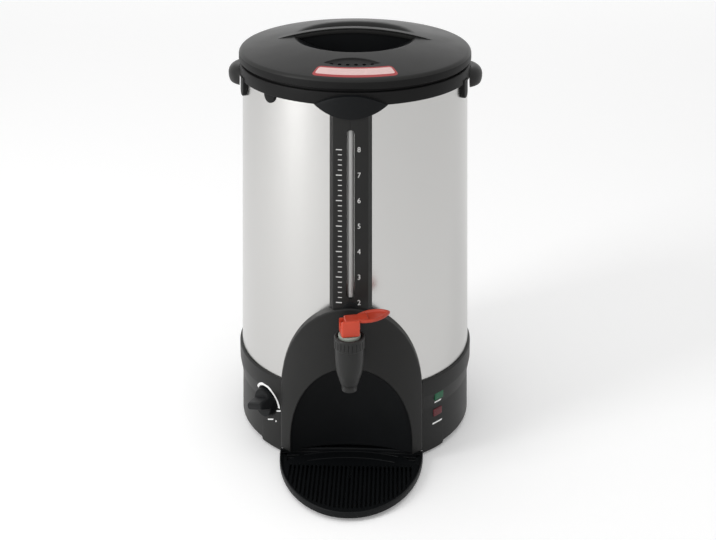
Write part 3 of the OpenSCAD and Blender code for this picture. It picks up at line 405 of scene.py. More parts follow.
# Arched grip bar with a groove along each side, over a narrow web
BAR_HALF, WEB_HALF, BAR_REACH, BAR_DEEP, GROOVE, BAR_SINK = 4.0, 2.0, 79.0, 5.3, 1.2, 0.8
CROWN_DROP = LID_TOP - dome(BAR_REACH)
CROWN_R = (BAR_REACH ** 2 + CROWN_DROP ** 2) / (2 * CROWN_DROP)
GROOVE_HALF = BAR_HALF - GROOVE
BAR_SIDE = ((BAR_HALF, 1.0), (BAR_HALF, 0.40), (GROOVE_HALF, 0.36), (GROOVE_HALF, 0.17), (BAR_HALF, 0.12))
BAR_RADII = [0.5, 0.3, 0.2, 0.2, 0.2, 0.4]


def arch(x, drop=0.0):
    return LID_TOP - CROWN_R + math.sqrt((CROWN_R - drop) ** 2 - x * x)


def bar_section(x):
    """The bar over the pocket, and past it the ridge that runs out on the dome."""
    crown, under = arch(x), arch(x, BAR_DEEP)
    if abs(x) > POCKET_R + 1:
        under = dome(math.hypot(x, BAR_HALF)) - BAR_SINK
    side = [(y, crown - (crown - under) * share) for y, share in BAR_SIDE]
    line = [(-y, z) for y, z in side] + [(y, crown) for y in spread(-BAR_HALF, BAR_HALF, 7)] + side[::-1]
    return [(x, y, z) for y, z in rounded(line, BAR_RADII + [0] * 5 + BAR_RADII[::-1], 4, loop=True)]


rings = [bar_section(x) for x in spread(-BAR_REACH, BAR_REACH, 121)]
finished("lid_grip_bar", Mesh().rings(rings).cap(rings[0]).cap(rings[-1]), "lid", BLACK)
rings = []
for x in spread(-POCKET_R, POCKET_R, 41):
    foot, top = POCKET_FLOOR - 1, arch(x, BAR_DEEP) + 0.5
    rings.append([(x, -WEB_HALF, foot), (x, -WEB_HALF, top), (x, WEB_HALF, top), (x, WEB_HALF, foot)])
# The web is in the deep black: painted shade under the bar.
finished("lid_grip_web", Mesh().rings(rings, closed=False), "lid", DARK)

# Blank strip with a red border, wider in front
STRIP_HALF, STRIP_CORNER, STRIP_TURN = math.radians(21.6), 4.5, 2.0
BORDER_SIDE, BORDER_BACK, BORDER_FRONT = 2.0, 2.4, 4.0


def strip_patch(inset, back, front, lift, drop):
    """The strip's face, held in from its sides, back and front, with round corners."""
    inner, outer = STRIP_IN + back, STRIP_OUT - front
    middle, rise = (inner + outer) / 2, (outer - inner) / 2
    half, corner = STRIP_HALF * middle - inset, STRIP_CORNER - inset
    bends = [half - corner * (1 - math.cos(t)) for t in spread(0, QUARTER, 7)]
    columns = [-b for b in bends] + spread(corner - half, half - corner, 41)[1:-1] + bends[::-1]
    rings = []
    for s in columns:
        past = max(0.0, abs(s) - half + corner)
        reach = rise - corner + math.sqrt(max(0.0, corner ** 2 - past ** 2))
        line = [(-reach, -drop)] + [(f * reach, 0.0) for f in spread(-1, 1, 9)] + [(reach, -drop)]
        line = [(middle + h, sink) for h, sink in line]
        rings.append([on_wall(STRIP_TURN, s * r / middle, dome(r) + lift + sink, r) for r, sink in line])
    ends = [[(x, y, z - drop) for x, y, z in ring] for ring in (rings[0], rings[-1])]
    return Mesh().rings([ends[0]] + rings + [ends[1]], closed=False)


finished("lid_strip_rim", strip_patch(0, 0, 0, 0.02, 0.3), "lid", RED_PRINT, ["lid_strip"])
strip_face = strip_patch(BORDER_SIDE, BORDER_BACK, BORDER_FRONT, 0.05, 0.1)
finished("lid_strip_face", strip_face, "lid", PAINTS["pale_strip"])

# Collar with its tabs
NECK_R, NECK_WALL, MOUTH_R, SLACK = TANK_R - 0.8, 2.7, TANK_R - 9, 0.1
COLLAR_TOP = COLLAR_Z + 12.5
ring_line = [(TANK_R + SLACK, COLLAR_Z), (COLLAR_R, COLLAR_Z), (COLLAR_R, COLLAR_TOP), (NECK_R, COLLAR_TOP),
             (NECK_R, NECK_TOP), (NECK_R - NECK_WALL, NECK_TOP), (NECK_R - NECK_WALL, COLLAR_TOP),
             (MOUTH_R, COLLAR_TOP), (MOUTH_R, WALL_TOP), (TANK_R + SLACK, WALL_TOP)]
ring_line = rounded(ring_line, [0.3, 0.9, 1.3, 0.6, 0.9, 0.9, 0.5, 1, 1, 0.3], 5, loop=True)
collar = lathe(ring_line, 300, loop=True)


def pad(angle, r_in, r_out, shape, bevel, steps=4):
    """A pad on the wall with rounded edges. shape(inset) gives its outline as (side, z)."""
    rings = [[on_wall(angle, s, z, r_in) for s, z in shape(0)]]
    for k in range(steps + 1):
        t = QUARTER * k / steps
        inset, r = bevel * (1 - math.cos(t)), r_out - bevel + bevel * math.sin(t)
        rings.append([on_wall(angle, s, z, r) for s, z in shape(inset)])
    return Mesh().rings(rings).cap(rings[-1])


def hanging(half, low, high):
    """Outline of a tab: square above, round below."""
    def shape(inset):
        h = half - inset
        turn = [(-h * math.cos(t), low + half - h * math.sin(t)) for t in spread(0, math.pi, 25)]
        return turn + [(h, high), (-h, high)]
    return shape


TAB_ANGLES, TAB_HALF, TAB_DROP, TAB_RISE, TAB_OUT, TAB_BEVEL = (70, 110, -70, -110), 6, 14.5, 4, 4.3, 1.3
STOP_ANGLE, STOP_HALF, STOP_DROP, STOP_RISE, STOP_OUT, STOP_BEVEL = -43.5, 8, 8, 2, 2, 1.0
tab = hanging(TAB_HALF, COLLAR_Z - TAB_DROP, COLLAR_Z + TAB_RISE)
for angle in TAB_ANGLES:
    collar.add(pad(angle, TANK_R + SLACK, TANK_R + TAB_OUT, tab, TAB_BEVEL))
stop = hanging(STOP_HALF, COLLAR_Z - STOP_DROP, COLLAR_Z + STOP_RISE)
collar.add(pad(STOP_ANGLE, TANK_R + SLACK, TANK_R + STOP_OUT, stop, STOP_BEVEL))
# The collar wears the darker black: painted shade.
finished("collar_ring", collar, "urn", SHADE_BLACK, ["collar"])

# Handles: a rounded top plate with a lip that hangs down and thins to its foot
EAR_R, EAR_LIP, EAR_T, EAR_SOFT, EAR_FOOT = 28.0, 4.0, 9.0, 9.0, 1.95
EAR_SEAT = COLLAR_R + FIT_GAP / 2


def ear_line(start, low, high):
    """A handle's section as (distance from its own axis, z), from the collar round to the collar."""
    arc_r, arc_z, under, gap_r = EAR_R - EAR_SOFT, high - EAR_SOFT, high - EAR_T, EAR_R - EAR_LIP
    foot_r = gap_r + EAR_FOOT / 2
    line = [(r, high) for r in spread(start, arc_r, 8)][:-1]
    line += [(arc_r + EAR_SOFT * math.sin(t), arc_z + EAR_SOFT * math.cos(t))
             for t in spread(0, QUARTER, 15)]
    line += [(foot_r + (EAR_R - foot_r) * math.cos(t), arc_z - (arc_z - low) * math.sin(t))
             for t in spread(0, QUARTER, 13)][1:]
    lip = [(foot_r, low), (gap_r, low), (gap_r, under), (start, under)]
    line += rounded(lip, [0, EAR_FOOT / 3, EAR_FOOT, 0], 8)[1:-1]
    return line + [(r, under) for r in spread(gap_r - EAR_FOOT, start, 8)][1:]


for side, node in ((1, "handle_right"), (-1, "handle_left")):
    low, high = span(node)
    ear_x = (high.x if side > 0 else -low.x) - EAR_R
    rings = []
    for r, z in ear_line(EAR_SEAT - ear_x, low.z, high.z):
        lean = (EAR_SEAT ** 2 - ear_x ** 2 - r * r) / (2 * ear_x * r)
        reach = math.acos(max(-1, min(1, lean)))
        turns = spread(-reach, reach, 49)
        rings.append([(side * (ear_x + r * math.cos(t)), r * math.sin(t), z) for t in turns])
    finished("grip_" + node, Mesh().rings(rings, closed=False), "urn", BLACK, [node])

# Tank wall, open where the cup niche goes in
NICHE_HALF, NICHE_SPRING, NICHE_TOP, NICHE_WALL = 57.5, 20.0, 99.0, 2.6
CUT_HALF, CUT_TOP = NICHE_HALF + NICHE_WALL, NICHE_TOP + NICHE_WALL
SHEET, WALL_TURNS = 0.6, 400


def wall_foot(x, y):
    if y > 0 or abs(x) >= CUT_HALF:
        return WALL_LOW
    return max(WALL_LOW, NICHE_SPRING + (CUT_TOP - NICHE_SPRING) * math.sqrt(1 - (x / CUT_HALF) ** 2))


def wall_row(r, t):
    row = []
    for i in range(WALL_TURNS):
        a = 2 * math.pi * i / WALL_TURNS
        x, y = r * math.sin(a), -r * math.cos(a)
        foot = wall_foot(x, y)
        row.append((x, y, foot + (WALL_TOP - foot) * t))
    return row


steps = [0, 0.02, 0.1, 0.3, 0.6, 0.85, 0.98, 1]
rows = [wall_row(TANK_R, t) for t in steps] + [wall_row(TANK_R - SHEET, t) for t in reversed(steps)]
shell = Mesh().rings(rows, loop=True)
finished("tank_shell", shell, "urn", PAINTS["steel_wall"], ["tank_wall"])

# Base skirt, open in front for the shroud
BASE_R, BASE_IN, LIP_R, GAP_HALF = TANK_R - 0.7, TANK_R - 3.2, TANK_R + 2.5, 67.7
SKIRT_Z, SKIRT_DROP, SKIRT_EDGE, DROP_TURN = 4.6, 2.6, 1.5, math.radians(50)
FLARE_Z, FLARE_TOP, FLARE_R = WALL_LOW - 17, WALL_LOW - 3, LIP_R - 0.3
KNOB_ANGLE, LAMP_ANGLE = -46.0, 46.0
KNOB_Z, KNOB_R = (span("knob")[0].z + span("knob")[1].z) / 2, 13.5


def skirt_at(z):
    return BASE_R + (FLARE_R - BASE_R) * min(1, max(0, (z - FLARE_Z) / (FLARE_TOP - FLARE_Z)))


def at_knob(mesh):
    """Puts a shape made along +Z about the origin onto the dial's axis."""
    a = math.radians(KNOB_ANGLE)
    out = Vector((math.sin(a), -math.cos(a), 0))
    side = Vector((math.cos(a), math.sin(a), 0))
    turn = Matrix((side, Vector((0, 0, 1)), out)).transposed().to_4x4()
    return mesh.moved(Matrix.Translation((0, 0, KNOB_Z)) @ turn)


line = [(BASE_R, SKIRT_Z), (BASE_R, FLARE_Z), (FLARE_R, FLARE_TOP), (LIP_R, BASE_TOP),
        (TANK_R + SLACK, BASE_TOP), (TANK_R + SLACK, WALL_LOW), (BASE_IN, WALL_LOW), (BASE_IN, SKIRT_Z)]
rings = []
for r, z in rounded(line, [0.8, 12, 6, 1.2, 0.4, 0.3, 0.5, 0.5], 6, loop=True):
    first = math.asin(GAP_HALF / r)
    ring = []
    for a in spread(first, 2 * math.pi - first, 361):
        in_front = min(a, 2 * math.pi - a) < DROP_TURN
        drop = SKIRT_DROP if in_front and z < SKIRT_Z + SKIRT_EDGE else 0
        ring.append((r * math.sin(a), -r * math.cos(a), z - drop))
    rings.append(ring)
skirt = Mesh().rings(rings, closed=False, loop=True)
skirt.cap([ring[0] for ring in rings]).cap([ring[-1] for ring in rings])
SEAT_R, SEAT_LOW, SEAT_HIGH = KNOB_R + 1, BASE_R - 0.2, LIP_R + 5
seat = lathe([(0, SEAT_LOW), (SEAT_R, SEAT_LOW), (SEAT_R, SEAT_HIGH), (0, SEAT_HIGH)], 96)
cut(finished("skirt_ring", skirt, "urn", BLACK, ["base_skirt"]), at_knob(seat))

# Gauge panel with its slot, scale and numbers
PANEL_R, PANEL_HALF, PANEL_LOW, FACE_HALF = TANK_R + 8.5, 20.0, 146.0, 16.5
SLOT_HALF, SLOT_LOW, SLOT_TOP, SLOT_EDGE = 3.8, 163.0, COLLAR_Z - 21, 12
SLOT_LIP = ((0.1, 0.06), (0.0, 0.3))


def face_y(x):
    return -math.sqrt(PANEL_R ** 2 - x * x)


def slot_half(z):
    if not SLOT_LOW < z < SLOT_TOP:
        return 0.0
    over = max(0.0, SLOT_LOW + SLOT_HALF - z, z - SLOT_TOP + SLOT_HALF)
    return math.sqrt(max(0.0, SLOT_HALF ** 2 - over ** 2))


def panel_half(side, z):
    w = slot_half(z)
    border = [(PANEL_HALF, -TANK_R + 4), (PANEL_HALF, -TANK_R - 0.5), (FACE_HALF, face_y(FACE_HALF)),
              (12, face_y(12))]
    line = rounded(border, [0, 0.6, 1.0, 0], 5)[:-1]
    line += [(x, face_y(x)) for x in spread(13, w + 0.3, 12)]
    line += [(w + out, face_y(w) + back) for out, back in SLOT_LIP] + [(w, -TANK_R - SLACK)]
    return [(side * x, y, z) for x, y in line]


ends = [SLOT_HALF * (1 - math.cos(t)) for t in spread(0, QUARTER, 13)]
levels = [PANEL_LOW] + [SLOT_LOW + e for e in ends] + spread(SLOT_LOW + SLOT_EDGE, SLOT_TOP - SLOT_EDGE, 24)
levels += [SLOT_TOP - e for e in reversed(ends)] + [COLLAR_Z - FIT_GAP]
panel = Mesh()
for side in (-1, 1):
    panel.rings([panel_half(side, z) for z in levels], closed=False)
finished("gauge_front", panel, "urn", BLACK, ["gauge_panel"])

LITRE_LOW, LITRE, FIRST_LITRE, LAST_LITRE, PER_LITRE = 159.4, 23.85, 2, 8, 5
TICK_RIGHT, LONG_TICK, SHORT_TICK, TICK_PROUD = -8.1, (-13.7, 0.42), (-11.8, 0.34), 0.05
NUMBER_X, NUMBER_H, CAP_SHARE = 8.0, 4.7, 0.7
ticks = Mesh()
for i in range((LAST_LITRE - FIRST_LITRE) * PER_LITRE + 1):
    z = LITRE_LOW + LITRE * i / PER_LITRE
    left, half = SHORT_TICK if i % PER_LITRE else LONG_TICK
    xs = spread(left, TICK_RIGHT, 5)
    edges = ((-half, -TICK_PROUD), (-half, TICK_PROUD), (half, TICK_PROUD), (half, -TICK_PROUD))
    ticks.rings([[(x, face_y(x) - d, z + h) for x in xs] for h, d in edges], closed=False)
finished("gauge_ticks", ticks, "urn", GREY_PRINT)


def print_number(text, x, z, size):
    curve = bpy.data.curves.new("number", "FONT")
    curve.body, curve.size = text, size / CAP_SHARE
    curve.align_x, curve.align_y = "CENTER", "CENTER"
    curve.resolution_u = 4
    shape = bpy.data.objects.new("number", curve)
    scene.collection.objects.link(shape)
    bpy.context.view_layer.update()
    data = bpy.data.meshes.new_from_object(shape.evaluated_get(bpy.context.evaluated_depsgraph_get()))
    made = Mesh()
    made.points = [(x + v.co.x, face_y(x + v.co.x) - PRINT_PROUD, z + v.co.y) for v in data.vertices]
    made.faces = [tuple(p.vertices) for p in data.polygons]
    bpy.data.objects.remove(shape)
    return made


for litre in range(FIRST_LITRE, LAST_LITRE + 1):
    number = print_number(str(litre), NUMBER_X, LITRE_LOW + LITRE * (litre - FIRST_LITRE), NUMBER_H)
    finished(f"gauge_number_{litre}", number, "urn", GREY_PRINT)

# Badge, left blank
BADGE_HALF, BADGE_RISE, BADGE_FRONT, BADGE_FACE_R = 35.0, 10.7, TANK_R + 10.5, 60.0
BADGE_STEPS = ((1.0, 1.0), (0.99, 0.45), (0.97, 0.12), (0.94, 0.0), (0.7, 0.0), (0.4, 0.0), (0.0, 0.0))


def badge_y(x):
    return BADGE_FACE_R - BADGE_FRONT - math.sqrt(BADGE_FACE_R ** 2 - x * x)


outline = lens_outline(BADGE_HALF, BADGE_RISE)
rings = [[(x, -math.sqrt(COLLAR_R ** 2 - x * x) + 4, COLLAR_Z + z) for x, z in outline]]
for scale, back in BADGE_STEPS:
    rings.append([(x * scale, badge_y(x * scale) + back, COLLAR_Z + z * scale) for x, z in outline])
finished("badge_blank", Mesh().rings(rings), "urn", DARK, ["badge_plate"])

# Tap shroud and cup niche
SHROUD_HALF, SHROUD_LOW, SHROUD_SPRING, SHROUD_TOP = SHROUD[1].x, SHROUD[0].z, BASE_TOP - 7.5, SHROUD[1].z
FACE_R = 95.0
FACE_C = SHROUD[0].y + FACE_R
BACK_R, NICHE_DEEP = 144.0, 22
BACK_C = -TANK_R + NICHE_DEEP - BACK_R
SOFT, INNER_SHARE, EDGE_BACK, EDGE_DEEP, LINER_IN, LINER_BACK = 1.3, 0.8, 2.4, 2.6, 0.03, 0.6


def shroud_y(x):
    return FACE_C - math.sqrt(FACE_R ** 2 - x * x)


def niche_y(x):
    return BACK_C + math.sqrt(BACK_R ** 2 - x * x)


def arch_point(turn, half, spring, top):
    """Where a ray from the arch's foot meets its outline."""
    c, s = math.cos(turn), math.sin(turn)
    if abs(c) > 1e-9 and SHROUD_LOW + half / abs(c) * s <= spring:
        return Vector((math.copysign(half, c), SHROUD_LOW + half / abs(c) * s))
    rise, low = top - spring, SHROUD_LOW - spring
    a, b, d = (c / half) ** 2 + (s / rise) ** 2, 2 * low * s / rise ** 2, (low / rise) ** 2 - 1
    k = (-b + math.sqrt(b * b - 4 * a * d)) / (2 * a)
    return Vector((k * c, SHROUD_LOW + k * s))


def shroud_section(outer, inner):
    """The shroud's front from its outer edge to the niche, along one ray."""
    way = (inner - outer).normalized()
    line = [(outer, -math.sqrt(TANK_R ** 2 - outer.x ** 2) + 2.5)]
    for t in spread(0, QUARTER, 6):
        p = outer + way * SOFT * (1 - math.cos(t))
        line.append((p, shroud_y(p.x) + SOFT * (1 - math.sin(t))))
    near, far = outer + way * (SOFT * 1.5), inner - way * (SOFT * 1.5)
    line += [(near.lerp(far, f), shroud_y(near.lerp(far, f).x)) for f in spread(0, 1, 12)]
    for t in spread(0, QUARTER, 6):
        p = inner - way * SOFT * INNER_SHARE * (1 - math.sin(t))
        line.append((p, shroud_y(p.x) + SOFT * INNER_SHARE * (1 - math.cos(t))))
    edge = shroud_y(inner.x)
    line.append((inner, max(edge + EDGE_BACK, min(niche_y(inner.x), edge + EDGE_DEEP))))
    return [(p.x, y, p.y) for p, y in line]


def niche_section(rim):
    """The niche's wall and back from its rim to the middle of its foot, along one ray."""
    deep = max(niche_y(rim.x), shroud_y(rim.x) + LINER_BACK)
    line = [(rim.x, y, rim.y) for y in spread(shroud_y(rim.x) + 0.5, deep, 8)]
    for f in spread(1, 0, 16)[1:]:
        p = Vector((0, SHROUD_LOW)).lerp(rim, f)
        line.append((p.x, max(niche_y(p.x), shroud_y(p.x) + LINER_BACK), p.y))
    return line


sections, niche_walls = [], []
for turn in spread(math.pi, 0, 181):
    outer = arch_point(turn, SHROUD_HALF, SHROUD_SPRING, SHROUD_TOP)
    inner = arch_point(turn, NICHE_HALF, NICHE_SPRING, NICHE_TOP)
    sections.append(shroud_section(outer, inner))
    niche_walls.append(niche_section(inner + (inner - outer).normalized() * LINER_IN))
shroud = Mesh().rings(sections, closed=False).cap(sections[0]).cap(sections[-1])
finished("shroud_front", shroud, "urn", BLACK, ["tap_shroud"])
# The niche's lining is in the deep black: painted shade in the recess.
niche = Mesh().rings(niche_walls, closed=False)
finished("niche_lining", niche, "urn", DARK, ["niche_liner"])

# Tap
TAP_R, TAP_BORE, NOZZLE_Z, NOZZLE_R, WATER_R = 13.4, 7.5, span("tap_body")[0].z, 7.0, 4.5
SHANK_R, NECK_SHANK_R, FLANGE_R = 6.5, 6.6, 10
BODY_TOP = BONNET[0].z - 0.05
SHANK_Z = BODY_TOP - 8.0
SHANK_START, FLANGE_START = -SHROUD[0].y - 4, -SHROUD[0].y + 2.1
FLANGE_END = -TAP_Y - BONNET[1].x - 0.4
NOZZLE_END = (NOZZLE_R + 0.3, NOZZLE_Z + 5.0)
outside = smooth_line([NOZZLE_END, (NOZZLE_R + 1.3, NOZZLE_Z + 6.6), (TAP_R - 3.6, NOZZLE_Z + 11),
                       (TAP_R - 1.9, NOZZLE_Z + 16), (TAP_R - 0.8, NOZZLE_Z + 22),
                       (TAP_R - 0.2, NOZZLE_Z + 29), (TAP_R, BODY_TOP - 2), (TAP_R, BODY_TOP)])
nozzle = [(WATER_R, NOZZLE_Z + 14), (WATER_R, NOZZLE_Z), (NOZZLE_R, NOZZLE_Z), NOZZLE_END]
nozzle = rounded(nozzle, [0, 0.5, 0.7, 0], 5)
tap = lathe(nozzle + outside[1:] + [(TAP_BORE, BODY_TOP)], 96, 0, TAP_Y)
shank = [(0, SHANK_START), (SHANK_R, SHANK_START), (SHANK_R, FLANGE_START), (FLANGE_R, FLANGE_START),
         (FLANGE_R, FLANGE_END), (NECK_SHANK_R, FLANGE_END), (NECK_SHANK_R, -TAP_Y - TAP_BORE)]
shank = lathe(rounded(shank, [0, 0, 0, 0.8, 0.8, 0.8, 0], 4), 64)
LAY = Matrix(((1, 0, 0), (0, 0, -1), (0, 1, 0))).to_4x4()
tap.add(shank.moved(Matrix.Translation((0, 0, SHANK_Z)) @ LAY))
finished("tap_barrel", tap, "urn", PAINTS["tap_plastic"], ["tap_body"])

# Dark boss at the foot of the gauge
FOOT_R, FOOT_Z = 7.8, 152.5
boss = [(FOOT_R, -0.6), (FOOT_R, 0.4), (FOOT_R - 0.2, 0.75), (FOOT_R - 0.6, 0.95), (4, 1.15), (0, 1.2)]
boss = lathe(boss, 64).moved(Matrix.Translation((0, face_y(0), FOOT_Z)) @ LAY)
finished("gauge_foot_boss", boss, "urn", DARK)

# Knurled cap ring and washer
BONNET_R, BONNET_LOW, BONNET_TOP = BONNET[1].x, BONNET[0].z, BONNET[1].z
CAP_IN, CAP_DEEP, STEM_HOLE = 3, 3, 3
KNURLS, KNURL_STEPS, KNURL_DEEP, KNURL_EASE = 24, 12, 0.65, 0.8
line = [(12, BONNET_LOW), (BONNET_R, BONNET_LOW), (BONNET_R, BONNET_TOP), (BONNET_R - CAP_IN, BONNET_TOP),
        (BONNET_R - CAP_IN, BONNET_TOP - CAP_DEEP), (STEM_HOLE, BONNET_TOP - CAP_DEEP)]
line = rounded(line, [0, 0.7, 1.1, 0.7, 0.4, 0], 5)
sides = [(BONNET_R, z) for z in spread(BONNET_LOW + 0.9, BONNET_TOP - 1.3, 22)]
first = [p for p in line if p[1] < BONNET_LOW + 0.75]
rings = []
for r, z in first + sides + line[len(first):]:
    depth = 0.0
    if abs(r - BONNET_R) < 1e-6:
        from_low = min(1, max(0, (z - BONNET_LOW - 1.2) / KNURL_EASE))
        from_top = min(1, max(0, (BONNET_TOP - 2.0 - z) / KNURL_EASE))
        depth = KNURL_DEEP * from_low * from_top
    ring = []
    for i in range(KNURLS * KNURL_STEPS):
        t = 2 * math.pi * i / (KNURLS * KNURL_STEPS)
        at = r - depth * max(0.0, math.cos(KNURLS * t)) ** 3
        ring.append((at * math.sin(t), TAP_Y - at * math.cos(t), z))
    rings.append(ring)
finished("tap_cap_ring", Mesh().rings(rings), "urn", PAINTS["tap_plastic"], ["tap_bonnet"])

WASHER_HOLE = 2.8
low, high = span("tap_washer")
line = [(WASHER_HOLE, low.z), (high.x, low.z), (high.x, high.z), (WASHER_HOLE, high.z)]
washer = lathe(rounded(line, [0.3, 0.3, 0.7, 0.3], 5, loop=True), 96, 0, TAP_Y, loop=True)
finished("tap_pale_washer", washer, "urn", PAINTS["washer_plastic"], ["tap_washer"])

# Valve spring in two halves, one on each seat, which close up as the stem lifts
SPRING_R, WIRE_R, HALF_TURNS, SPRING_ROOM = 5.0, 0.6, 2, 3.6
SPRING_SWEEP = 2 * math.pi * HALF_TURNS
low, high = span("tap_spring")
coil_rise = (high.z - low.z - SPRING_ROOM) / 2 - 2 * WIRE_R


def half_spring(foot):
    rings = []
    for t in spread(0, SPRING_SWEEP, 48 * HALF_TURNS + 1):
        out = Vector((math.sin(t), -math.cos(t), 0))
        middle = out * SPRING_R + Vector((0, TAP_Y, foot + WIRE_R + coil_rise * t / SPRING_SWEEP))
        turns = spread(0, 2 * math.pi, 11)[:-1]
        rings.append([middle + WIRE_R * (out * math.cos(a) + Vector((0, 0, math.sin(a)))) for a in turns])
    return Mesh().rings(rings).cap(rings[0]).cap(rings[-1])


finished("spring_lower_half", half_spring(low.z), "stem", STEEL, ["tap_spring"])
upper_half = half_spring(high.z - coil_rise - 2 * WIRE_R)
finished("spring_upper_half", upper_half, "urn", STEEL)

# Red handle block and lever, in the handle's own frame: x along the lever
LEVER_TURN, BLOCK_W, BLOCK_H, CHEEK, BLOCK_FLOOR = math.radians(12), 17.0, 14.0, 1.8, 3.5
BLOCK_Z = span("handle_block")[0].z
BLOCK_TOP = BLOCK_Z + BLOCK_H
BLOCK_HALF = BLOCK_W / 2
CHANNEL = BLOCK_HALF - CHEEK
PIN_Z, PIN_X, REAR_CHEEK = BLOCK_Z + 7.7, BLOCK_HALF - 2, 3.2
CUT_TOP_Z, CUT_EDGE = BLOCK_TOP + 8, (0.4, 0.3)
handle = Matrix.Translation((0, TAP_Y, 0)) @ Matrix.Rotation(LEVER_TURN, 4, "Z")


def rounded_box(half_x, half_y, low, high, corner, bevel, x=0.0, y=0.0):
    """A box about x and y with round upright corners and soft edges above and below."""
    def ring(inset, z):
        hx, hy, c = half_x - inset, half_y - inset, max(0.05, corner - inset)
        flat = rounded([(-hx, -hy), (hx, -hy), (hx, hy), (-hx, hy)], c, 5, loop=True)
        return [(x + px, y + py, z) for px, py in flat]
    turns = spread(0, QUARTER, 5)
    rings = [ring(bevel * (1 - math.sin(t)), low + bevel * (1 - math.cos(t))) for t in turns]
    rings += [ring(bevel * (1 - math.cos(t)), high - bevel * (1 - math.sin(t))) for t in turns]
    return Mesh().rings(rings).cap(rings[0]).cap(rings[-1])


cheeks = rounded_box(BLOCK_HALF, BLOCK_HALF, BLOCK_Z, BLOCK_TOP, 1.6, 0.9).moved(handle)
block = finished("handle_cheeks", cheeks, "tap_head", PAINTS["red_plastic"], ["handle_block"])
floor_z = BLOCK_Z + BLOCK_FLOOR
front_cut = rounded_box(BLOCK_HALF, CHANNEL, floor_z, CUT_TOP_Z, *CUT_EDGE, x=BLOCK_HALF - CHANNEL)
back_cut = rounded_box(BLOCK_HALF, CHANNEL, PIN_Z, CUT_TOP_Z, *CUT_EDGE, x=-BLOCK_HALF)
rear_cut = rounded_box(BLOCK_W, BLOCK_HALF, PIN_Z + REAR_CHEEK, CUT_TOP_Z, *CUT_EDGE, y=BLOCK_HALF)
cut(block, front_cut.moved(handle), back_cut.moved(handle), rear_cut.moved(handle))

PADDLE_TILT, PADDLE_T, REACH, PADDLE_HALF = math.radians(7), 3.0, 38.0, 10.0
LEVER_HALF, LEVER_LOW, LEVER_TOP, NOSE_X = CHANNEL - FIT_GAP, PIN_Z - 3.2, PIN_Z + 6.35, -4.5
LEAF_MID, LEAF_HALF, LEAF_START = REACH / 2 + 1, REACH / 2 - 1, BLOCK_HALF - 1
LEAF_TAPER, START_TAPER, HEEL_PAST, NECK_HALF, NECK_OUT = 1.15, 0.3, 2.5, 6.2, 4.2
onto_lever = Matrix.Translation((PIN_X, 0, LEVER_TOP))
tilt = onto_lever @ Matrix.Rotation(-PADDLE_TILT, 4, "Y") @ Matrix.Translation((-PIN_X, 0, -PADDLE_T))
heel_half = (PIN_X + HEEL_PAST - NOSE_X) / 2
heel = rounded_box(heel_half, LEVER_HALF, LEVER_LOW, LEVER_TOP, 1.2, 0.8, x=NOSE_X + heel_half)
leaf = lens_outline(LEAF_HALF, PADDLE_HALF, 48)


def leaf_ring(inset, z):
    ring = []
    for x, y in leaf:
        out = LEAF_MID + x * (1 - inset * LEAF_TAPER / LEAF_HALF)
        ring.append((max(LEAF_START + inset * START_TAPER, out), y * (1 - inset / PADDLE_HALF), z))
    return ring


LEAF_RIM = [(0.9, 0.0), (0.35, 0.18), (0.0, 0.8), (0.0, 2.2), (0.25, 2.75), (0.8, 3.0), (1.6, 2.95),
            (2.1, 2.6), (2.6, 1.9), (3.4, 1.5), (6.0, 1.4), (10.0, 1.4)]
paddle = Mesh().rings([leaf_ring(inset, z) for inset, z in LEAF_RIM]).cap(leaf_ring(*LEAF_RIM[0]))
neck = rounded_box(NECK_HALF, LEVER_HALF - 0.2, 0.0, PADDLE_T - 0.1, 1.0, 0.7, x=PIN_X + NECK_OUT)
lever = heel.add(paddle.add(neck).moved(tilt)).moved(handle)
# The lever is in the darker red: painted shade on its top.
finished("lever_paddle", lever, "lever", LEVER_SHADED_RED, ["tap_lever"])

# Dial knob with its print
KNOB_LOW, KNOB_FRONT, GRIP_H, GRIP_SINK, GRIP_SOFT = BASE_R + 0.6, BASE_R + 6.6, 10.0, 0.5, 1.0
GRIP_LONG, GRIP_WIDE, LONG_TAPER, WIDE_TAPER, POINTER = 12.6, 5.6, 1.3, 2.6, math.radians(20)
disc = [(0, KNOB_LOW), (KNOB_R, KNOB_LOW), (KNOB_R - 1, KNOB_FRONT), (0, KNOB_FRONT)]
disc = lathe(rounded(disc, [0, 0.5, 1.0, 0], 6), 128)
levels = []
for k in spread(0, 1, 9)[:-1]:
    z = KNOB_FRONT - GRIP_SINK + (GRIP_H + GRIP_SINK) * k
    levels.append((GRIP_LONG - LONG_TAPER * k, GRIP_WIDE - WIDE_TAPER * k, z))
for t in spread(0, QUARTER, 6):
    inset = GRIP_SOFT * (1 - math.cos(t))
    z = KNOB_FRONT + GRIP_H - GRIP_SOFT * (1 - math.sin(t))
    levels.append((GRIP_LONG - LONG_TAPER - inset, GRIP_WIDE - WIDE_TAPER - inset, z))
loops = []
for half_l, half_w, z in levels:
    flat = [(-half_l, -half_w), (half_l, -half_w), (half_l, half_w), (-half_l, half_w)]
    loops.append([(x, y, z) for x, y in rounded(flat, min(2.4, half_w * 0.9), 6, loop=True)])
grip = Mesh().rings(loops).cap(loops[-1]).moved(Matrix.Rotation(POINTER, 4, "Z"))
finished("dial_knob", at_knob(disc.add(grip)), "dial", DARK, ["knob"])


def wall_print(name, angle, outline_rows):
    """Thin print on the skirt: rows of (side, z)."""
    rings = [[on_wall(angle, s, z, skirt_at(z) + PRINT_PROUD) for s, z in row] for row in outline_rows]
    finished(name, Mesh().rings(rings, closed=False), "urn", WHITE_PRINT)


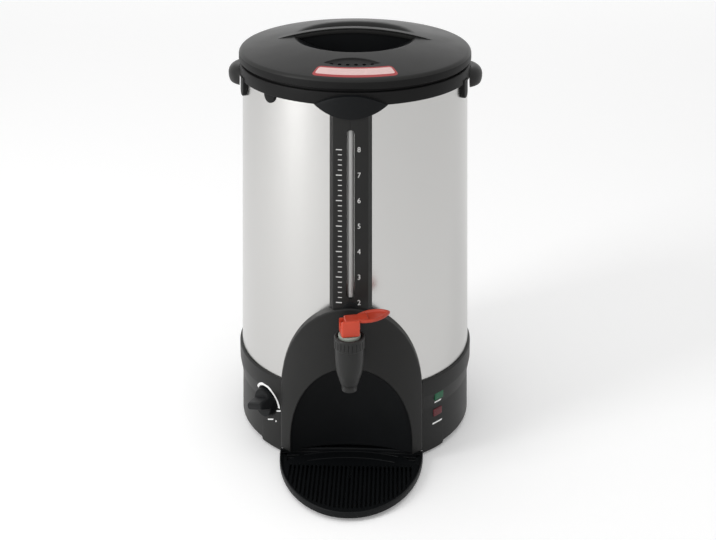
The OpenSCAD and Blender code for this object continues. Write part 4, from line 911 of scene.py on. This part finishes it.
def arc_rows(r0, r1, a0, a1, steps=40):
    """A band about the dial's axis, between two radii and two angles in degrees."""
    rows = []
    for a in spread(math.radians(a0), math.radians(a1), steps):
        rows.append([(r * math.cos(a), KNOB_Z + r * math.sin(a)) for r in spread(r0, r1, 4)])
    return rows


def dash_rows(first, final, thick):
    """A straight dash between two places given from the dial's axis."""
    (s0, z0), (s1, z1) = first, final
    return [[(s0 + (s1 - s0) * f, KNOB_Z + z0 + (z1 - z0) * f + h) for f in spread(0, 1, 5)]
            for h in spread(-thick / 2, thick / 2, 3)]


DIAL_ARC = (15.0, 17.4, -5, 148)
DIAL_DASHES = (("dial_mark_low", (13.0, -5.2), (18.4, -3.4), 1.3),
               ("dial_mark_off", (0.6, -17.8), (8.6, -14.7), 1.3),
               ("dial_mark_dot", (11.6, -15.5), (13.1, -15.0), 1.5))
wall_print("dial_arc", KNOB_ANGLE, arc_rows(*DIAL_ARC))
for name, *dash in DIAL_DASHES:
    wall_print(name, KNOB_ANGLE, dash_rows(*dash))

# Lamps with a plain bar under each
LAMP_HALF, LAMP_RISE, LAMP_CORNER, LAMP_PROUD, LAMP_BEVEL, BAR_THICK = 6.0, 3.5, 1.0, 0.95, 0.7, 1.5
LAMPS = (("lamp_green", "green_lens", 6.1, 4.6), ("lamp_red", "red_lens", 10.0, 6.6))


def lamp_window(z):
    """Outline of a lamp's lens: a rectangle with round corners."""
    def shape(inset):
        half, rise, corner = LAMP_HALF - inset, LAMP_RISE - inset, max(0.1, LAMP_CORNER - inset)
        flat = rounded([(-half, -rise), (half, -rise), (half, rise), (-half, rise)], corner, 4, loop=True)
        return [(s, z + h) for s, h in flat]
    return shape


for node, slot, bar_drop, bar_half in LAMPS:
    low, high = span(node)
    z = (low.z + high.z) / 2
    glass = pad(LAMP_ANGLE, BASE_R - 2, skirt_at(z) + LAMP_PROUD, lamp_window(z), LAMP_BEVEL)
    finished(node + "_window", glass, "urn", PAINTS[slot], [node])
    heights = [z - bar_drop + h for h in spread(-BAR_THICK / 2, BAR_THICK / 2, 3)]
    rows = [[(s, h) for s in spread(-bar_half, bar_half, 6)] for h in heights]
    wall_print(node + "_bar", LAMP_ANGLE, rows)

# Drip tray with a rolled rim
TRAY_HALF, TRAY_MID, TRAY_BACK, TRAY_BOW_R = TRAY[1].x, 100.0, TANK_R - 20.4, 600.0
TRAY_ROUND = -TRAY[0].y - TRAY_MID
TRAY_LOW, TRAY_TOP, TRAY_T, TRAY_STEP = TRAY[0].z, 8.4, 1.8, 5.0
RIM_LOW, RIM_SOFT, TRAY_DEEP = TRAY_TOP - 5.3, TRAY_T / 2, TRAY_STEP + TRAY_T
LEDGE, TRAY_FLOOR = RIM_LOW + TRAY_T, TRAY_LOW + TRAY_T
STAYS, STAY_HALF, STAY_LONG, STAY_BACK = (-42.0, 0.0, 42.0), 1.0, 18.5, 78.5
TONGUE_X, TONGUE_HALF, TONGUE_Y, TONGUE_LOW, TONGUE_TOP = 40.0, 6, -97.0, 6.3, 8.3


def tray_outline(margin):
    a, b, r = TRAY_HALF - margin, TRAY_ROUND - margin, TRAY_BOW_R - margin
    front = [(a * math.cos(t), -TRAY_MID - b * math.sin(t)) for t in spread(0, math.pi, 160)]
    return front + [(x, math.sqrt(r * r - x * x) - TRAY_BACK - TRAY_BOW_R) for x in spread(-a, a, 40)]


rim = [(TRAY_STEP + 1.6, TRAY_LOW), (TRAY_STEP + 0.4, TRAY_LOW + 0.15), (TRAY_STEP, TRAY_LOW + 0.7),
       (TRAY_STEP, RIM_LOW), (0.7, RIM_LOW), (0.2, RIM_LOW + 0.2), (0.0, RIM_LOW + 0.7)]
for t in spread(0, math.pi, 11):
    rim.append((RIM_SOFT - RIM_SOFT * math.cos(t), TRAY_TOP - RIM_SOFT + RIM_SOFT * math.sin(t)))
rim += [(TRAY_T + 0.05, LEDGE + 0.4), (TRAY_T + 0.4, LEDGE), (TRAY_DEEP - 0.3, LEDGE),
        (TRAY_DEEP, LEDGE - 0.3), (TRAY_DEEP + 0.1, TRAY_FLOOR + 0.5), (TRAY_DEEP + 0.6, TRAY_FLOOR)]
rings = [[(x, y, z) for x, y in tray_outline(margin)] for margin, z in rim]
tray = Mesh().rings(rings).cap(rings[0]).cap(rings[-1])
for x in STAYS:
    tray.add(rounded_box(STAY_HALF, STAY_LONG, TRAY_LOW + 1, LEDGE, 0.3, 0.3, x, TRAY[0].y + STAY_BACK))
for middle in (-TONGUE_X, TONGUE_X):
    left, right = middle - TONGUE_HALF, middle + TONGUE_HALF
    flat = [(left, TONGUE_Y), (right, TONGUE_Y), (right, TRAY[1].y), (left, TRAY[1].y)]
    flat = rounded(flat, [0, 0, 1.5, 1.5], 4, loop=True)
    under, over = [[(x, y, z) for x, y in flat] for z in (TONGUE_LOW, TONGUE_TOP)]
    tray.rings([under, over]).cap(under).cap(over)
# The pan is in the deep black: painted shade under the shroud.
finished("tray_pan", tray, "tray", DARK, ["drip_tray"])

# Two ridges along the back of the grate
RIDGE_MARGINS, RIDGE_TURN, GRATE_BACK_R = (4.0, 14.5), 0.33, BACK_R - 1.6
RIDGE_LINE = ((-0.7, -0.1), (-0.45, 0.25), (0.0, 0.35), (0.45, 0.25), (0.7, -0.1))
grate_top = span("drip_grate")[1].z
for k, margin in enumerate(RIDGE_MARGINS):
    line = [(GRATE_BACK_R - margin + s, grate_top + h) for s, h in RIDGE_LINE]
    rows = []
    for t in spread(-RIDGE_TURN, RIDGE_TURN, 50):
        rows.append([(r * math.sin(t), BACK_C + r * math.cos(t), z) for r, z in line])
    # The ridges are in the deep black: painted shade under the shroud.
    finished(f"grate_ridge_{k + 1}", Mesh().rings(rows, closed=False), "grate", DARK)

# Studio: a pale floor under soft light, with lengths in metres
FLOOR_HALF, AMBIENT, FLOOR_LIFT = 6.0, 0.62, 0.18
WHITE = (1, 1, 1, 1)
floor_mesh = bpy.data.meshes.new("floor")
soft = bmesh.new()
bmesh.ops.create_grid(soft, x_segments=4, y_segments=4, size=FLOOR_HALF)
soft.to_mesh(floor_mesh)
soft.free()
floor = bpy.data.objects.new("floor", floor_mesh)
scene.collection.objects.link(floor)


def level_by_ray(nodes, links, other, seen):
    """seen for rays that show the background, from the camera, a mirror or clear plastic; else other."""
    rays = nodes.new("ShaderNodeLightPath")
    total = rays.outputs["Is Camera Ray"]
    for name in ("Is Glossy Ray", "Is Transmission Ray"):
        most = nodes.new("ShaderNodeMath")
        most.operation = "MAXIMUM"
        links.new(total, most.inputs[0])
        links.new(rays.outputs[name], most.inputs[1])
        total = most.outputs[0]
    level = nodes.new("ShaderNodeMapRange")
    level.inputs["To Min"].default_value = other
    level.inputs["To Max"].default_value = seen
    links.new(total, level.inputs["Value"])
    return level.outputs["Result"]


pale = paint("pale_floor", (0.93, 0.93, 0.93), 0.7, grain=60, bump=0.01, tone=0.01, patch=2, sheen=0.1)
nodes, links = pale.node_tree.nodes, pale.node_tree.links
shader = nodes["Principled BSDF"]
shader.inputs["Emission Color"].default_value = WHITE
links.new(level_by_ray(nodes, links, 0.0, FLOOR_LIFT), shader.inputs["Emission Strength"])
floor_mesh.materials.append(pale)

world = bpy.data.worlds.new("studio")
scene.world = world
world.use_nodes = True
nodes, links = world.node_tree.nodes, world.node_tree.links
back = nodes["Background"]
back.inputs["Color"].default_value = WHITE
links.new(level_by_ray(nodes, links, AMBIENT, 1.0), back.inputs["Strength"])


def softbox(name, place, size, power, target=(0, 0, 0.2)):
    lamp = bpy.data.lights.new(name, "AREA")
    lamp.shape, lamp.energy = "RECTANGLE", power
    lamp.size, lamp.size_y = size
    obj = bpy.data.objects.new(name, lamp)
    scene.collection.objects.link(obj)
    obj.location = place
    obj.rotation_euler = (Vector(target) - Vector(place)).to_track_quat("-Z", "Y").to_euler()


softbox("key_left", (-1.35, -0.85, 0.9), (0.45, 1.6), 15)
softbox("top", (0.0, -0.2, 2.2), (2.0, 2.0), 7)
softbox("back_low", (0.0, 2.4, 0.6), (3.2, 1.1), 5, (0, 0, 0.38))

# Camera: level and lowered in its frame, as the photograph was taken
WIDTH, HEIGHT, FOCAL, AXIS_COLUMN, HORIZON_ROW = 716, 540, 1356.9, 355.1, -313.3  # pixels
DISTANCE, EYE = 1.3931, 0.736  # metres
AZIMUTH, SENSOR = math.radians(2.0), 36
slope = (HEIGHT / 2 - HORIZON_ROW) / FOCAL
lens = bpy.data.cameras.new("camera")
lens.sensor_width = SENSOR
lens.lens = FOCAL / WIDTH * SENSOR * math.sqrt(1 + slope ** 2)
lens.shift_x = (WIDTH / 2 - AXIS_COLUMN) / WIDTH
camera = bpy.data.objects.new("camera", lens)
scene.collection.objects.link(camera)
holder = bpy.data.objects.new("camera_holder", None)
scene.collection.objects.link(holder)
camera.location = (0, -DISTANCE, EYE)
camera.rotation_euler = (QUARTER, 0, 0)
camera.parent = holder
place, lean = Matrix.Translation(camera.location), Matrix.Identity(4)
lean[2][1] = -slope
turn = Matrix.Translation(AXIS) @ Matrix.Rotation(AZIMUTH, 4, "Z")
camera.matrix_parent_inverse = turn @ place @ lean @ place.inverted()
scene.camera = camera
scene.view_settings.view_transform = "Standard"
